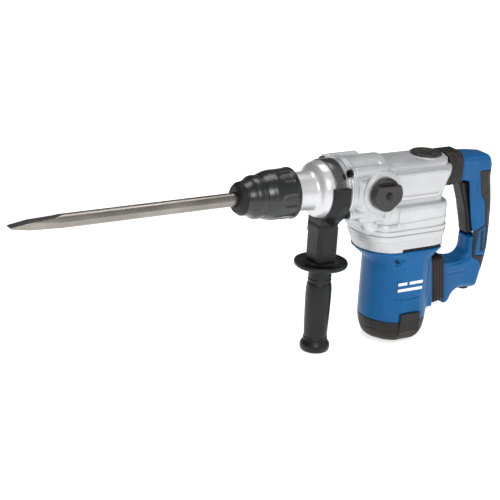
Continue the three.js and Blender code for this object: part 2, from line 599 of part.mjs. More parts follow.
function addMotor() {
  const shaft = join(rodZ(6, 10, PLATE.base + 7, [0, 0], 12),
    spurGear(PINION_TEETH, MODULE, PLATE.base + 6, GEAR_Z[1] + 4));
  piece(hammer, "armature_shaft", shaft, LOOKS.steel);
  const slots = Array.from({ length: 12 }, (_, i) => {
    const slot = new THREE.BoxGeometry(8, 2.2, 60).translate(26, 0, 74);
    return solid(slot.rotateZ((i * Math.PI) / 6));
  });
  piece(hammer, "armature_core", cut(ring(6.3, 28, 50, 98), ...slots), LOOKS.steel);
  piece(hammer, "commutator", ring(6.3, 14.5, 31, 46, 24), LOOKS.copper);
  const blades = Array.from({ length: 9 }, (_, i) => {
    const blade = new THREE.BoxGeometry(18, 1.8, 8).translate(27, 0, 109);
    return solid(blade.rotateZ((i * 2 * Math.PI) / 9));
  });
  piece(hammer, "fan", join(ring(6.3, 12, 103, 114), ring(11, 37, 103, 106), ...blades), LOOKS.black);
  piece(hammer, "stator", ring(29, 41.5, 48, 100), LOOKS.steel);
  [["left", -1], ["right", 1]].forEach(([side, sign]) => {
    const [near, far] = [15, 27].map((y) => y * sign).sort((a, b) => a - b);
    piece(hammer, "brush_" + side, block([-4, near, 34], [4, far, 43]), LOOKS.carbon);
  });
  piece(hammer, "motor_bearing_upper", ring(6.3, 13, 122, 131, 24), LOOKS.steel);
  piece(hammer, "motor_bearing_lower", ring(6.3, 11, 10, 19, 24), LOOKS.steel);
}

function addMotorHousing() {
  const { r, front, nose, half, bore, base, top, capBase } = MOTOR;
  const plan = (inset) =>
    nosed({ front: front + inset, back: r - inset, half: half - inset, nose: nose - inset,
      corner: 38 - inset });
  const tube = stack([base, plan(0)], [120, plan(0)]);
  const spigot = PLATE.skirt - GAP;
  const shoulder = stack(
    [109, plan(4)], [119, plan(1)], [129, footPlan(0.5)], [spigot, footPlan(0.2)],
    [spigot + 0.1, footPlan(FOOT.lip + GAP)], [top, footPlan(FOOT.lip + GAP)]);
  const [, guide] = GUIDES;
  const tongue = rodX(5, guide.x, guide.x + guide.length, [0, guide.z], 12);
  const rearBox = sideways(outline([
    [10, 34.5], [REAR_FACE.low[0], 34.5, 4], [REAR_FACE.high[0], 109, 6], [10, 118],
  ]), -27, 27, 1.5);
  const motorRoom = rodZ(bore, base - 1, 121, [0, 0], 28);
  const bearingSeat = rodZ(13.4, 115, 131.4);
  const shaftHole = rodZ(7.5, 130, 140, [0, 0], 12);
  const tabRoom = block([-20.4, -50, 20], [13.4, -44.6, 40.4]);
  const screwHole = rodY(3.4, -50, -35.7, HOUSING_SCREW, 12);
  const behind = sideways(outline([REAR_FACE.low, REAR_FACE.high, [80, 109], [80, 20], [51.9, 20]]), -60, 60);
  const casing = cut(join(tube, rearBox).subtract(behind), motorRoom, tabRoom)
    .add(cut(shoulder, motorRoom, bearingSeat, shaftHole))
    .add(tongue);
  piece(hammer, "motor_housing", cut(casing, screwHole), LOOKS.blue);
  piece(hammer, "housing_screw", rodY(3, -41.2, -36, HOUSING_SCREW, 12), LOOKS.blackSteel);

  const capTop = base - GAP;
  const shell = stack([capBase, plan(12)], [capBase + 1.4, plan(8.5)], [9, plan(2.4)],
    [capTop, plan(0)]);
  const well = turned([[8, 0], [8, 30], [12, 34], [capTop, 38], [capTop + 1, 38], [capTop + 1, 0]], 28);
  const bowl = cut(shell, well);
  const tab = block([-20, -47.4, capTop - 12], [13, -44.9, 40]);
  const tabRoot = block([-20, -47.4, 14], [13, -41, capTop]);
  const cup = cut(rodZ(14, 6, 20), rodZ(11.3, 9.5, 24));
  piece(hammer, "motor_cap", join(bowl, tab, tabRoot, cup), LOOKS.softGrip);
}

// ---- Rear handle ----
const handleOutline = [
  [82, 250.8, 4.5], [112, 250.8, 8], [137, 247.5, 10], [143, 233, 8], [142, 217, 8],
  [148.5, 179, 20], [151, 138, 20], [150, 112, 20], [146, 86, 20], [136.5, 46.5, 8],
  [100, 51, 8], [88, 46.5, 5], [82, 35, 5], [71.5, 33, 5], [63.2, 98, 5], [101, 93.5, 12],
  [113.5, 103, 8], [113, 128, 5], [110, 138, 5], [103.5, 167, 8], [94.5, 213, 4.5],
  [82, 213, 4.5],
];
const softRegion = [
  [117, 225.5, 2], [172, 227], [172, 69], [142.5, 69, 2], [132.5, 90.5, 3], [119.5, 96, 3],
  [119.5, 136, 3], [137, 144, 3], [132, 179, 4], [124.5, 188.5, 3],
];

// The outline moved inwards by a distance, corner by corner.
function inset(corners, distance) {
  const turn = Math.sign(THREE.ShapeUtils.area(corners.map(([x, y]) => new THREE.Vector2(x, y))));
  return corners.map(([x, y, radius], i) => {
    const before = corners.at(i - 1);
    const after = corners[(i + 1) % corners.length];
    const into = new THREE.Vector2(x - before[0], y - before[1]).normalize();
    const out = new THREE.Vector2(after[0] - x, after[1] - y).normalize();
    const normal = new THREE.Vector2(-into.y - out.y, into.x + out.x).normalize();
    const miter = distance / Math.max(0.5, normal.x * -into.y + normal.y * into.x);
    return [x + turn * normal.x * miter, y + turn * normal.y * miter, radius];
  });
}

const triggerOutline = [
  [90, 211, 3], [108, 211, 3], [117.5, 165, 6], [122.5, 131, 3], [113.6, 131, 3], [107, 164, 8],
];
const TRIGGER_PIVOT = [118, 135];
const INLET_X = 122;

function addRearHandle() {
  const { half, chamfer, seam, skin } = HANDLE;
  const whole = sideways(outline(handleOutline), -half, half, chamfer);
  const core = (shrink) =>
    sideways(outline(inset(handleOutline, skin + shrink)), shrink + skin - half,
      half - skin - shrink);
  const soft = (grow) => sideways(outline(inset(softRegion, -grow)), -half - 5, half + 5);
  const grip = cut(whole.intersect(soft(0)), core(-GAP));
  const bare = cut(whole, cut(soft(GAP), core(0)));
  piece(hammer, "soft_grip", grip, LOOKS.softGrip);

  const triggerRoom = sideways(outline([
    [80, 216], [114, 216], [122, 165], [127, 126.5], [108, 126.5],
  ]), -15.2, 15.2);
  const cheekRoom = sideways(outline([
    [80, 212.5], [104, 212.5], [113.2, 165], [118.4, 131], [108, 131],
  ]), -60, 60);
  const switchRoom = block([112, -12.3, 150], [137.5, 12.3, 203]);
  const pinRoom = rodY(2.3, -16.1, 16.1, TRIGGER_PIVOT, 8);
  const guideRooms = GUIDES.map(({ x, z, length }) =>
    rodX(5.7, x + length - 35, x + length + 10, [0, z], 12));
  const inletRoom = join(rodZ(7.3, 30, 68, [INLET_X, 0], 12), rodZ(9.8, 30, 50.2, [INLET_X, 0], 12));
  const hollow = cut(bare, triggerRoom, cheekRoom, switchRoom, pinRoom, ...guideRooms, inletRoom);
  const reach = half + 10;
  const sides = { left: [-reach, -seam], right: [seam, reach] };
  for (const [side, [near, far]] of Object.entries(sides)) {
    const part = hollow.intersect(block([0, near, 0], [200, far, 300]));
    piece(hammer, "handle_" + side, part, LOOKS.blue);
  }

  const paddle = sideways(outline(triggerOutline), -14.5, 14.5, 0.8);
  piece(hammer, "trigger", cut(paddle, rodY(2.3, -20, 20, TRIGGER_PIVOT, 8)), LOOKS.black);
  piece(hammer, "trigger_pin", rodY(2, -15.8, 15.8, TRIGGER_PIVOT, 8), LOOKS.steel);
  const switchBody = block([124, -11, 152], [137, 11, 201]);
  const plunger = block([118.5, -4, 186], [125, 4, 194]);
  piece(hammer, "switch_unit", join(switchBody, plunger), LOOKS.black);
  const inlet = turned([[44.4, 4], [44.4, 8], [46, 9.4], [49.8, 9.4], [49.8, 7], [64, 7], [64, 4]], 12);
  const inlets = new THREE.Group();
  inlets.position.x = INLET_X;
  hammer.add(inlets);
  piece(inlets, "cable_inlet", inlet, LOOKS.black);
}

// Ribbed boots between the body and the rear handle, each over a coil spring. Both are
// modelled about X from 0 and placed by a group that turns them to the body's rear face.
function addBellows() {
  const lean = Math.atan2(REAR_FACE.low[0] - REAR_FACE.high[0], REAR_FACE.high[1] - REAR_FACE.low[1]);
  const middle = [REAR_FACE.low, REAR_FACE.high].map(([x]) => x).reduce((a, b) => (a + b) / 2);
  const boots = [
    { name: "upper", at: [60.4, 232.5], tilt: 0, high: 24.5, half: 23.5, corner: 20, length: 21 },
    { name: "lower", at: [middle + 2 * GAP, 71], tilt: lean, high: 35.2, half: 25, corner: 8,
      length: BELLOWS.length },
  ];
  for (const { name, at, tilt, high, half, corner, length } of boots) {
    const group = new THREE.Group();
    group.position.set(at[0], 0, at[1]);
    group.rotation.y = -tilt;
    hammer.add(group);
    const box = (shrink) =>
      outline([
        [shrink - half, shrink - high, corner], [half - shrink, shrink - high, corner],
        [half - shrink, high - shrink, corner], [shrink - half, high - shrink, corner],
      ]);
    const pitch = length / BELLOWS.ribs;
    const folds = Array.from({ length: BELLOWS.ribs }, (_, i) =>
      endways(box(0), i * pitch, (i + 0.6) * pitch));
    const tube = endways(box(1.6), 0, length);
    const bore = endways(box(1.6 + BELLOWS.wall), -1, length + 1);
    piece(group, name + "_bellows", cut(join(tube, ...folds), bore), LOOKS.softGrip);
    piece(group, "damper_spring_" + name, coilX(9, 1.5, 0.3, length - 0.3, 3), LOOKS.steel);
  }
}

addChisel();
addChuck();
addStrikers();
addSpindleBearings();
addFrontBarrel();
addSideHandle();
addGearHousing();
addBearingPlate();
addOilCap();
addModeKnob();
addCrankDrive();
addMotor();
addMotorHousing();
addRearHandle();
addBellows();

export default hammer;
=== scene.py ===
"""Looks of the rotary demolition hammer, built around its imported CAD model.

Shapes are given in millimetres about the same datum as the CAD source, which lies LIFT above the
standing surface. Castings and mouldings are signed distance fields turned into meshes; turned
pieces are profiles swept round their axes.
"""
import functools
import math

import bpy
import numpy as np
from mathutils import Matrix, Vector


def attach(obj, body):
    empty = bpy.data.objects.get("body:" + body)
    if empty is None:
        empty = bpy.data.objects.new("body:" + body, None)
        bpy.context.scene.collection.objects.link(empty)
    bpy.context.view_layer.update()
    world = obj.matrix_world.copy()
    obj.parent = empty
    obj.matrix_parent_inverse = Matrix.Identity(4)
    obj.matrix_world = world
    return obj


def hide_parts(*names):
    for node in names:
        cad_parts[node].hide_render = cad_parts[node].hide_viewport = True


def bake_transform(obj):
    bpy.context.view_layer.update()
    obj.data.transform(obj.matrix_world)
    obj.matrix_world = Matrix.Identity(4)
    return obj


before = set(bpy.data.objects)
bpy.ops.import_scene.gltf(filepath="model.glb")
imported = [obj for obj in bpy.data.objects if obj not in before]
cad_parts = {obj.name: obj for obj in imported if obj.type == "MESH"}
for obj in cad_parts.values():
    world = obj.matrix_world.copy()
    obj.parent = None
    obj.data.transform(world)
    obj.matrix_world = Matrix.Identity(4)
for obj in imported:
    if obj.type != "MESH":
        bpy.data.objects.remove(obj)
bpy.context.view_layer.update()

MM = 0.001
LIFT = 4.0             # height of the datum over the standing surface
AXIS_Z = 222.0         # tool axis, which runs along X
BOSSES = [(-34, 28.5), (-34, -28.5), (34, -28.5), (34, 28.5)]  # barrel screws, from the tool axis
BOSS_R, SCREW_HOLE_R = 7.6, 2.9
CLAMP_X = -128.7       # axis of the side handle
KNOB_X = -68.5         # axis of the mode knob, which crosses the tool axis
CRANK_X = 23.75        # axis of the crank
OIL_X = 32.0           # axis of the oil filler cap
OIL_SEAT_Z = 254.2     # flat that the cap's rim stands over
UPPER_GUIDE_Z = 232.5  # tongue that guides the rear handle's upper arm
LOWER_GUIDE_Z = 72.0   # tongue in its lower arm

# ---- Camera, floor and light ----


def add_camera():
    """The photograph's camera, placed by where it sees one point of the motor's axis."""
    side, sensor = 500, 36  # picture side in pixels, sensor width in millimetres
    azimuth, elevation, roll = (math.radians(a) for a in (31.702, 19.604, 3.519))
    focal_pixels, distance = 1537.8, 2132.88
    reference = Vector((0, 0, 160 + LIFT))
    seen_at = (400.774, 220.96)
    ca, sa = math.cos(azimuth), math.sin(azimuth)
    ce, se = math.cos(elevation), math.sin(elevation)
    right, up = Vector((ca, -sa, 0)), Vector((sa * se, ca * se, ce))
    back = Vector((-sa * ce, -ca * ce, se))
    cr, sr = math.cos(roll), math.sin(roll)
    right, up = cr * right + sr * up, -sr * right + cr * up
    off_x = (seen_at[0] - side / 2) * distance / focal_pixels
    off_y = (side / 2 - seen_at[1]) * distance / focal_pixels
    place = reference - right * off_x - up * off_y + back * distance
    data = bpy.data.cameras.new("camera")
    data.sensor_width = sensor
    data.lens = focal_pixels * sensor / side
    data.clip_end = 50
    camera = bpy.data.objects.new("camera", data)
    turn = Matrix((right, up, back)).transposed().to_4x4()
    camera.matrix_world = Matrix.Translation(place * MM) @ turn
    bpy.context.scene.collection.objects.link(camera)
    bpy.context.scene.camera = camera


def add_light(name, place, aim, size, power):
    data = bpy.data.lights.new(name, "AREA")
    data.shape = "RECTANGLE"
    data.size, data.size_y = size
    data.energy = power
    light = bpy.data.objects.new(name, data)
    turn = (Vector(aim) - Vector(place)).to_track_quat("-Z", "Y").to_matrix().to_4x4()
    light.matrix_world = Matrix.Translation(place) @ turn
    bpy.context.scene.collection.objects.link(light)


def add_studio():
    """A pale floor and a world that is brighter on the camera's side, with three soft lights."""
    scene = bpy.context.scene
    scene.view_settings.view_transform = "Standard"
    world = bpy.data.worlds.new("studio")
    scene.world = world
    world.use_nodes = True
    tree = world.node_tree
    background = tree.nodes["Background"]
    background.inputs["Strength"].default_value = 1.0
    direction = tree.nodes.new("ShaderNodeTexCoord").outputs["Generated"]
    split = tree.nodes.new("ShaderNodeSeparateXYZ")
    tree.links.new(direction, split.inputs[0])
    depth = tree.nodes.new("ShaderNodeMapRange")
    for key, number in (("From Min", -0.8), ("From Max", 0.8), ("To Min", 0.58), ("To Max", 0.14)):
        depth.inputs[key].default_value = number
    tree.links.new(split.outputs["Y"], depth.inputs["Value"])
    tree.links.new(depth.outputs["Result"], background.inputs["Color"])

    mesh = bpy.data.meshes.new("floor")
    reach, level = 60.0, -0.0074
    mesh.from_pydata([(-reach, -reach, level), (reach, -reach, level), (reach, reach, level),
                      (-reach, reach, level)], [], [(0, 1, 2, 3)])
    floor = bpy.data.objects.new("floor", mesh)
    scene.collection.objects.link(floor)
    paint = bpy.data.materials.new("floor_white")
    paint.use_nodes = True
    shader = paint.node_tree.nodes["Principled BSDF"]
    shader.inputs["Base Color"].default_value = (0.85, 0.85, 0.85, 1)
    shader.inputs["Roughness"].default_value = 0.9
    shader.inputs["Specular IOR Level"].default_value = 0.1
    shader.inputs["Emission Color"].default_value = (1, 1, 1, 1)
    shader.inputs["Emission Strength"].default_value = 0.72
    mesh.materials.append(paint)
    add_light("key", (-0.7, -1.6, 1.3), (-0.1, 0, 0.15), (0.8, 0.7), 16)
    add_light("top", (0.0, 0.5, 2.2), (-0.1, 0, 0.1), (1.6, 1.0), 17)
    add_light("fill", (1.6, -1.2, 0.8), (0, 0, 0.15), (1.0, 1.0), 3)


# ---- Materials ----


class Shader:
    """A Principled material with helpers for its procedural inputs."""

    def __init__(self, name):
        self.material = bpy.data.materials.new(name)
        self.material.use_nodes = True
        self.tree = self.material.node_tree
        self.bsdf = self.tree.nodes["Principled BSDF"]
        self.place = self.tree.nodes.new("ShaderNodeTexCoord").outputs["Object"]

    def node(self, kind, **settings):
        made = self.tree.nodes.new(kind)
        for key, value in settings.items():
            setattr(made, key, value)
        return made

    def link(self, a, b):
        self.tree.links.new(a, b)

    def stretched(self, scale):
        mapping = self.node("ShaderNodeMapping")
        mapping.inputs["Scale"].default_value = scale
        self.link(self.place, mapping.inputs["Vector"])
        return mapping.outputs["Vector"]

    def noise(self, scale, detail=3.0, roughness=0.55, stretch=None):
        made = self.node("ShaderNodeTexNoise")
        made.inputs["Scale"].default_value = scale
        made.inputs["Detail"].default_value = detail
        made.inputs["Roughness"].default_value = roughness
        self.link(self.stretched(stretch) if stretch else self.place, made.inputs["Vector"])
        return made.outputs["Fac"]

    def ramp(self, value, low, high, to_low=0.0, to_high=1.0):
        made = self.node("ShaderNodeMapRange")
        for key, number in zip(("From Min", "From Max", "To Min", "To Max"),
                               (low, high, to_low, to_high)):
            made.inputs[key].default_value = number
        self.link(value, made.inputs["Value"])
        return made.outputs["Result"]

    def mix(self, factor, a, b):
        made = self.node("ShaderNodeMix", data_type="RGBA")
        self.link(factor, made.inputs["Factor"])
        for socket, value in ((made.inputs[6], a), (made.inputs[7], b)):
            if isinstance(value, tuple):
                socket.default_value = (*value, 1)
            else:
                self.link(value, socket)
        return made.outputs[2]

    def product(self, a, b):
        made = self.node("ShaderNodeMath", operation="MULTIPLY")
        self.link(a, made.inputs[0])
        self.link(b, made.inputs[1])
        return made.outputs[0]

    def bump(self, *heights):
        """Stacks bumps of (height socket, strength, distance in metres)."""
        normal = None
        for height, strength, distance in heights:
            made = self.node("ShaderNodeBump")
            made.inputs["Strength"].default_value = strength
            made.inputs["Distance"].default_value = distance
            self.link(height, made.inputs["Height"])
            if normal:
                self.link(normal, made.inputs["Normal"])
            normal = made.outputs["Normal"]
        self.link(normal, self.bsdf.inputs["Normal"])

    def edges(self):
        """Share of wear: high on convex edges."""
        geometry = self.node("ShaderNodeNewGeometry")
        return self.ramp(geometry.outputs["Pointiness"], 0.52, 0.60)


def srgb(red, green, blue):
    return tuple(((c / 255 + 0.055) / 1.055) ** 2.4 if c > 10 else c / 255 / 12.92
                 for c in (red, green, blue))


LOOKS = {}


def surface(name, base, dark, worn, roughness, metallic, grain, depth, blotch,
            brushed=None, coat=0.0, specular=0.5):
    """A look whose colour drifts from base to dark in blotches and to worn on edges.

    Colours are sRGB bytes, grain and blotch are noise scales, depth is the grain's in metres, and
    brushed stretches the grain along the axes.
    """
    spread, wear = 0.08, 0.6  # drift of the roughness, and strength of the worn edges
    s = Shader(name)
    s.bsdf.inputs["Metallic"].default_value = metallic
    s.bsdf.inputs["Specular IOR Level"].default_value = specular
    if coat:
        s.bsdf.inputs["Coat Weight"].default_value = coat
        s.bsdf.inputs["Coat Roughness"].default_value = 0.25
    drift = s.ramp(s.noise(blotch, 4.0, 0.6), 0.35, 0.7)
    fine = s.noise(grain, 2.0, 0.5, brushed)
    colour = s.mix(drift, srgb(*base), srgb(*dark))
    scuffs = s.ramp(s.noise(blotch * 9, 3.0, 0.7), 0.42, 0.62, 0.0, wear)
    colour = s.mix(s.product(s.edges(), scuffs), colour, srgb(*worn))
    s.link(colour, s.bsdf.inputs["Base Color"])
    rough = s.ramp(s.noise(blotch * 2.3, 4.0, 0.6), 0.3, 0.7, roughness - spread, roughness + spread)
    s.link(rough, s.bsdf.inputs["Roughness"])
    s.bump((s.noise(blotch * 3, 2.0, 0.5), 0.25, 0.0003), (fine, 0.6, depth))
    LOOKS[name] = s.material


surface("cast_aluminium", (204, 204, 206), (189, 190, 192), (228, 228, 230), 0.4, 0.5, 900, 18e-5, 14)
surface("machined_aluminium", (214, 214, 215), (198, 198, 200), (242, 242, 243), 0.36, 0.6, 700,
        3e-5, 20, brushed=(14, 1, 1))
surface("chisel_steel", (154, 149, 143), (128, 124, 119), (214, 211, 206), 0.3, 1.0, 500, 3e-5, 12,
        brushed=(0.05, 1, 1))
surface("steel", (176, 177, 180), (150, 151, 154), (215, 215, 216), 0.3, 1.0, 600, 3e-5, 25)
surface("band_steel", (128, 127, 126), (92, 91, 90), (180, 178, 175), 0.2, 1.0, 500, 3e-5, 16,
        brushed=(12, 1, 1))
surface("lamination_steel", (150, 152, 156), (120, 122, 126), (190, 190, 192), 0.4, 0.9, 900, 8e-5,
        25, brushed=(1, 1, 30))
surface("copper", (196, 120, 82), (160, 92, 62), (226, 160, 120), 0.35, 1.0, 700, 4e-5, 30)
surface("brass", (196, 168, 100), (166, 138, 78), (222, 200, 140), 0.35, 1.0, 700, 4e-5, 30)
surface("carbon", (46, 46, 48), (32, 32, 34), (84, 84, 86), 0.6, 0.0, 1600, 4e-5, 18)
surface("black_screw", (16, 16, 17), (10, 10, 11), (84, 82, 78), 0.3, 0.6, 1200, 4e-5, 60)
surface("chuck_black", (9, 10, 11), (5, 6, 6), (48, 50, 52), 0.3, 0.0, 1500, 5e-5, 22, coat=0.4)
surface("rubber_seal", (17, 17, 18), (11, 11, 12), (46, 45, 44), 0.5, 0.0, 1400, 8e-5, 40,
        specular=0.35)
surface("bellows_rubber", (42, 36, 33), (26, 23, 21), (92, 84, 78), 0.5, 0.0, 1200, 1e-4, 34,
        specular=0.4)
surface("soft_grip_rubber", (48, 42, 39), (35, 31, 29), (84, 78, 74), 0.55, 0.0, 1100, 18e-5, 30,
        specular=0.35)
surface("blue_plastic", (0, 90, 146), (0, 79, 131), (52, 140, 198), 0.42, 0.0, 1500, 6e-5, 12,
        coat=0.03, specular=0.22)
surface("cap_plastic", (32, 27, 25), (22, 19, 17), (76, 70, 66), 0.5, 0.0, 1300, 12e-5, 26,
        specular=0.35)
surface("black_plastic", (17, 17, 16), (11, 11, 11), (66, 66, 65), 0.42, 0.0, 1300, 1e-4, 24,
        specular=0.34)
surface("mode_black", (30, 27, 25), (21, 19, 18), (92, 86, 80), 0.36, 0.0, 1300, 6e-5, 30, coat=0.2)
surface("print_white", (236, 240, 244), (226, 231, 236), (244, 246, 248), 0.45, 0.0, 1500, 3e-5, 40)

# ---- Fields: signed distances in millimetres on a grid, negative inside ----


class Grid:
    def __init__(self, low, high, step):
        self.step = step
        self.axes = [np.arange(a - 2.5 * step, b + 3 * step, step) for a, b in zip(low, high)]
        self.X, self.Y, self.Z = np.meshgrid(*self.axes, indexing="ij", sparse=True)


def polygon(points, u, v):
    """Distance to a closed polygon in the plane of u and v."""
    shape = np.broadcast(u, v).shape
    best = np.full(shape, 1e9)
    inside = np.zeros(shape, bool)
    points = [tuple(map(float, p)) for p in points]
    for (ax, ay), (bx, by) in zip(points, points[1:] + points[:1]):
        ex, ey = bx - ax, by - ay
        if ex == 0 and ey == 0:
            continue
        t = np.clip(((u - ax) * ex + (v - ay) * ey) / (ex * ex + ey * ey), 0, 1)
        best = np.minimum(best, (u - ax - ex * t) ** 2 + (v - ay - ey * t) ** 2)
        if ey != 0:
            crossing = (ay > v) != (by > v)
            inside ^= crossing & (u < ex * (v - ay) / ey + ax)
    distance = np.sqrt(best)
    return np.where(inside, -distance, distance)


def curve(before, here, after, reach, most, steps):
    """A short curve for a corner, which takes at most that share of either side."""
    before, here, after = (np.array(p[:2], float) for p in (before, here, after))
    ends = []
    for other in (before, after):
        way = other - here
        length = max(np.linalg.norm(way), 1e-9)
        ends.append(here + way * min(reach, length * most) / length)
    return [tuple((1 - t) ** 2 * ends[0] + 2 * t * (1 - t) * here + t * t * ends[1])
            for t in np.linspace(0, 1, steps + 1)]


def rounded(corners, steps):
    """Outline from (x, y, corner reach): each corner becomes a short curve."""
    points = []
    for i, corner in enumerate(corners):
        if len(corner) > 2:
            after = corners[(i + 1) % len(corners)]
            points += curve(corners[i - 1], corner, after, corner[2], 0.49, steps)
        else:
            points.append(corner)
    return points


def outline(corners, u, v, steps=6):
    """Distance to an outline of (x, y, corner reach) in the plane of u and v."""
    return polygon(rounded(corners, steps), u, v)


def overlap(*fields):
    """What is inside every field, with sharp edges where they meet."""
    return functools.reduce(np.maximum, fields)


def edged(a, b, radius):
    """What is inside both distances, with the edge between them rounded to that radius."""
    a, b = a + radius, b + radius
    return np.hypot(np.maximum(a, 0), np.maximum(b, 0)) + np.minimum(np.maximum(a, b), 0) - radius


def slab(flat, across, half, radius):
    """A plane distance given thickness: |across| up to half, with edges of that radius."""
    return edged(flat, np.abs(across) - half, radius)


def span(flat, along, low, high, radius=0.5):
    """A plane distance carried from low to high."""
    return slab(flat, along - (low + high) / 2, (high - low) / 2, radius)


def box2(u, v, half_u, half_v, corner):
    return edged(np.abs(u) - half_u, np.abs(v) - half_v, corner)


def tube(u, v, r):
    return np.hypot(u, v) - r


def hexagon(u, v, half):
    """A hexagonal bar, with half its width across the flats."""
    return np.maximum(np.abs(u) - half, np.abs(u) * 0.5 + np.abs(v) * 0.866 - half)


def brick(grid, low, high, radius=0.5):
    middle = [(a + b) / 2 for a, b in zip(low, high)]
    half = [(b - a) / 2 for a, b in zip(low, high)]
    q = [np.abs(c - m) - h + radius for c, m, h in zip((grid.X, grid.Y, grid.Z), middle, half)]
    outside = np.sqrt(sum(np.maximum(a, 0) ** 2 for a in q))
    return outside + np.minimum(overlap(*q), 0) - radius


def join(a, b, blend=0.0):
    """Either field, with a fillet of that reach; cut and both blend alike."""
    if not blend:
        return np.minimum(a, b)
    h = np.maximum(blend - np.abs(a - b), 0) / blend
    return np.minimum(a, b) - h * h * blend / 4


def cut(a, b, blend=0.0):
    return -join(-a, b, blend)


def both(a, b, blend=0.0):
    return -join(-a, -b, blend)


def surface_net(field, grid):
    """Quads over the zero surface of a field, and their points in millimetres."""
    field = np.broadcast_to(field, tuple(len(a) for a in grid.axes)).astype(np.float32)
    inside = field < 0
    parts = [inside[i:i - 1 or None, j:j - 1 or None, k:k - 1 or None]
             for i in (0, 1) for j in (0, 1) for k in (0, 1)]
    every, some = np.logical_and.reduce(parts), np.logical_or.reduce(parts)
    cells = np.argwhere(some & ~every)
    number = -np.ones(every.shape, np.int64)
    number[tuple(cells.T)] = np.arange(len(cells))
    corners = np.array([(i, j, k) for i in (0, 1) for j in (0, 1) for k in (0, 1)])
    values = np.stack([field[tuple((cells + c).T)] for c in corners], 1)
    total, count = np.zeros((len(cells), 3)), np.zeros(len(cells))
    for a in range(8):
        for b in range(a + 1, 8):
            if np.abs(corners[a] - corners[b]).sum() != 1:
                continue
            va, vb = values[:, a], values[:, b]
            crossed = (va < 0) != (vb < 0)
            t = np.where(crossed, va / np.where(crossed, va - vb, 1), 0)
            point = corners[a] + t[:, None] * (corners[b] - corners[a])
            total += np.where(crossed[:, None], point, 0)
            count += crossed
    places = cells + total / count[:, None]
    quads = []
    for axis in range(3):
        u, v = (axis + 1) % 3, (axis + 2) % 3
        first = [slice(None)] * 3
        second = [slice(None)] * 3
        first[axis], second[axis] = slice(0, -1), slice(1, None)
        a, b = inside[tuple(first)], inside[tuple(second)]
        at = np.argwhere(a != b)
        at = at[(at[:, u] > 0) & (at[:, v] > 0) & (at[:, u] < a.shape[u] - 1)
                & (at[:, v] < a.shape[v] - 1)]
        du, dv = np.eye(3, dtype=int)[u], np.eye(3, dtype=int)[v]
        quad = np.stack([number[tuple(p.T)] for p in (at, at - du, at - du - dv, at - dv)], 1)
        leaving = a[tuple(at.T)]
        quads.append(np.where(leaving[:, None], quad, quad[:, ::-1]))
    return settle(field, places), np.concatenate(quads)[:, ::-1]


def settle(field, places):
    """Moves points in grid units onto the zero surface, along its slope."""
    for _ in range(2):
        base = np.clip(places.astype(int), 0, np.array(field.shape) - 2)
        f = places - base
        c = {(i, j, k): field[base[:, 0] + i, base[:, 1] + j, base[:, 2] + k]
             for i in (0, 1) for j in (0, 1) for k in (0, 1)}

        def lerp(weights):
            return sum(c[i, j, k] * weights[0][i] * weights[1][j] * weights[2][k]
                       for i, j, k in c)

        w = [(1 - f[:, n], f[:, n]) for n in range(3)]
        ones = np.ones(len(places))
        value = lerp(w)
        slope = np.stack([lerp([(-ones, ones) if m == n else w[m] for m in range(3)])
                          for n in range(3)], 1)
        size = np.maximum((slope ** 2).sum(1), 1e-6)
        step = np.clip((value / size)[:, None] * slope, -0.5, 0.5)
        places = places - 0.8 * step
    return places


def mesh_object(name, look, points, faces):
    """A mesh object from points in millimetres over the datum."""
    mesh = bpy.data.meshes.new(name)
    points = (np.asarray(points, float) + (0, 0, LIFT)) * MM
    mesh.from_pydata(points.tolist(), [], [list(map(int, f)) for f in faces])
    mesh.validate()
    mesh.update()
    mesh.polygons.foreach_set("use_smooth", [True] * len(mesh.polygons))
    mesh.materials.append(LOOKS[look])
    made = bpy.data.objects.new(name, mesh)
    bpy.context.scene.collection.objects.link(made)
    return made


def piece(name, body, look, replaced, points, faces, keep=1.0):
    """A mesh object riding on a body, thinned to a share of its faces."""
    made = mesh_object(name, look, points, faces)
    if keep < 1:
        thin = made.modifiers.new("thin", "DECIMATE")
        thin.ratio = keep
        shown = made.evaluated_get(bpy.context.evaluated_depsgraph_get())
        made.data = bpy.data.meshes.new_from_object(shown)
        made.modifiers.clear()
    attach(made, body)
    if replaced:
        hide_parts(replaced)
    return made


def moulded(name, body, look, replaced, field, grid, keep=0.45):
    places, quads = surface_net(field, grid)
    start = np.array([a[0] for a in grid.axes])
    piece(name, body, look, replaced, places * grid.step + start, quads, keep=keep)


# ---- Swept pieces ----


def swept(rings, closed_path=False):
    """Points and faces of a skin over rings with equal counts, capped unless its path closes."""
    count = len(rings[0])
    points = [p for ring in rings for p in ring]
    faces = []
    for i in range(len(rings) if closed_path else len(rings) - 1):
        for j in range(count):
            a, b = i * count + j, i * count + (j + 1) % count
            c, d = (a + count) % len(points), (b + count) % len(points)
            faces.append((a, b, d, c))
    if not closed_path:
        faces.append(list(range(count))[::-1])
        faces.append(list(range(len(points) - count, len(points))))
    return points, faces


def softened(profile, radius):
    """Profile of (station, radius) pairs with each inner corner rounded a little."""
    points = [profile[0]]
    for corner in zip(profile, profile[1:], profile[2:]):
        points += curve(*corner, radius, 0.4, 2)
    points.append(profile[-1])
    return points


def turned_rings(profile, axis, centre, sides, sink=None):
    """Rings about an axis ("x", "y" or "z") through a point, one for each (station, radius)."""
    rings = []
    angles = np.arange(sides) * 2 * math.pi / sides
    for station, radius in profile:
        r = np.full(sides, float(radius))
        if sink is not None:
            r = r - sink(station, angles, radius)
        a, b, level = r * np.cos(angles), r * np.sin(angles), np.full(sides, float(station))
        if axis == "x":
            ring = (level, centre[0] + a, centre[1] + b)
        elif axis == "y":
            ring = (centre[0] + b, level, centre[1] + a)
        else:
            ring = (centre[0] + a, centre[1] + b, level)
        rings.append(np.stack(ring, 1).tolist())
    return rings


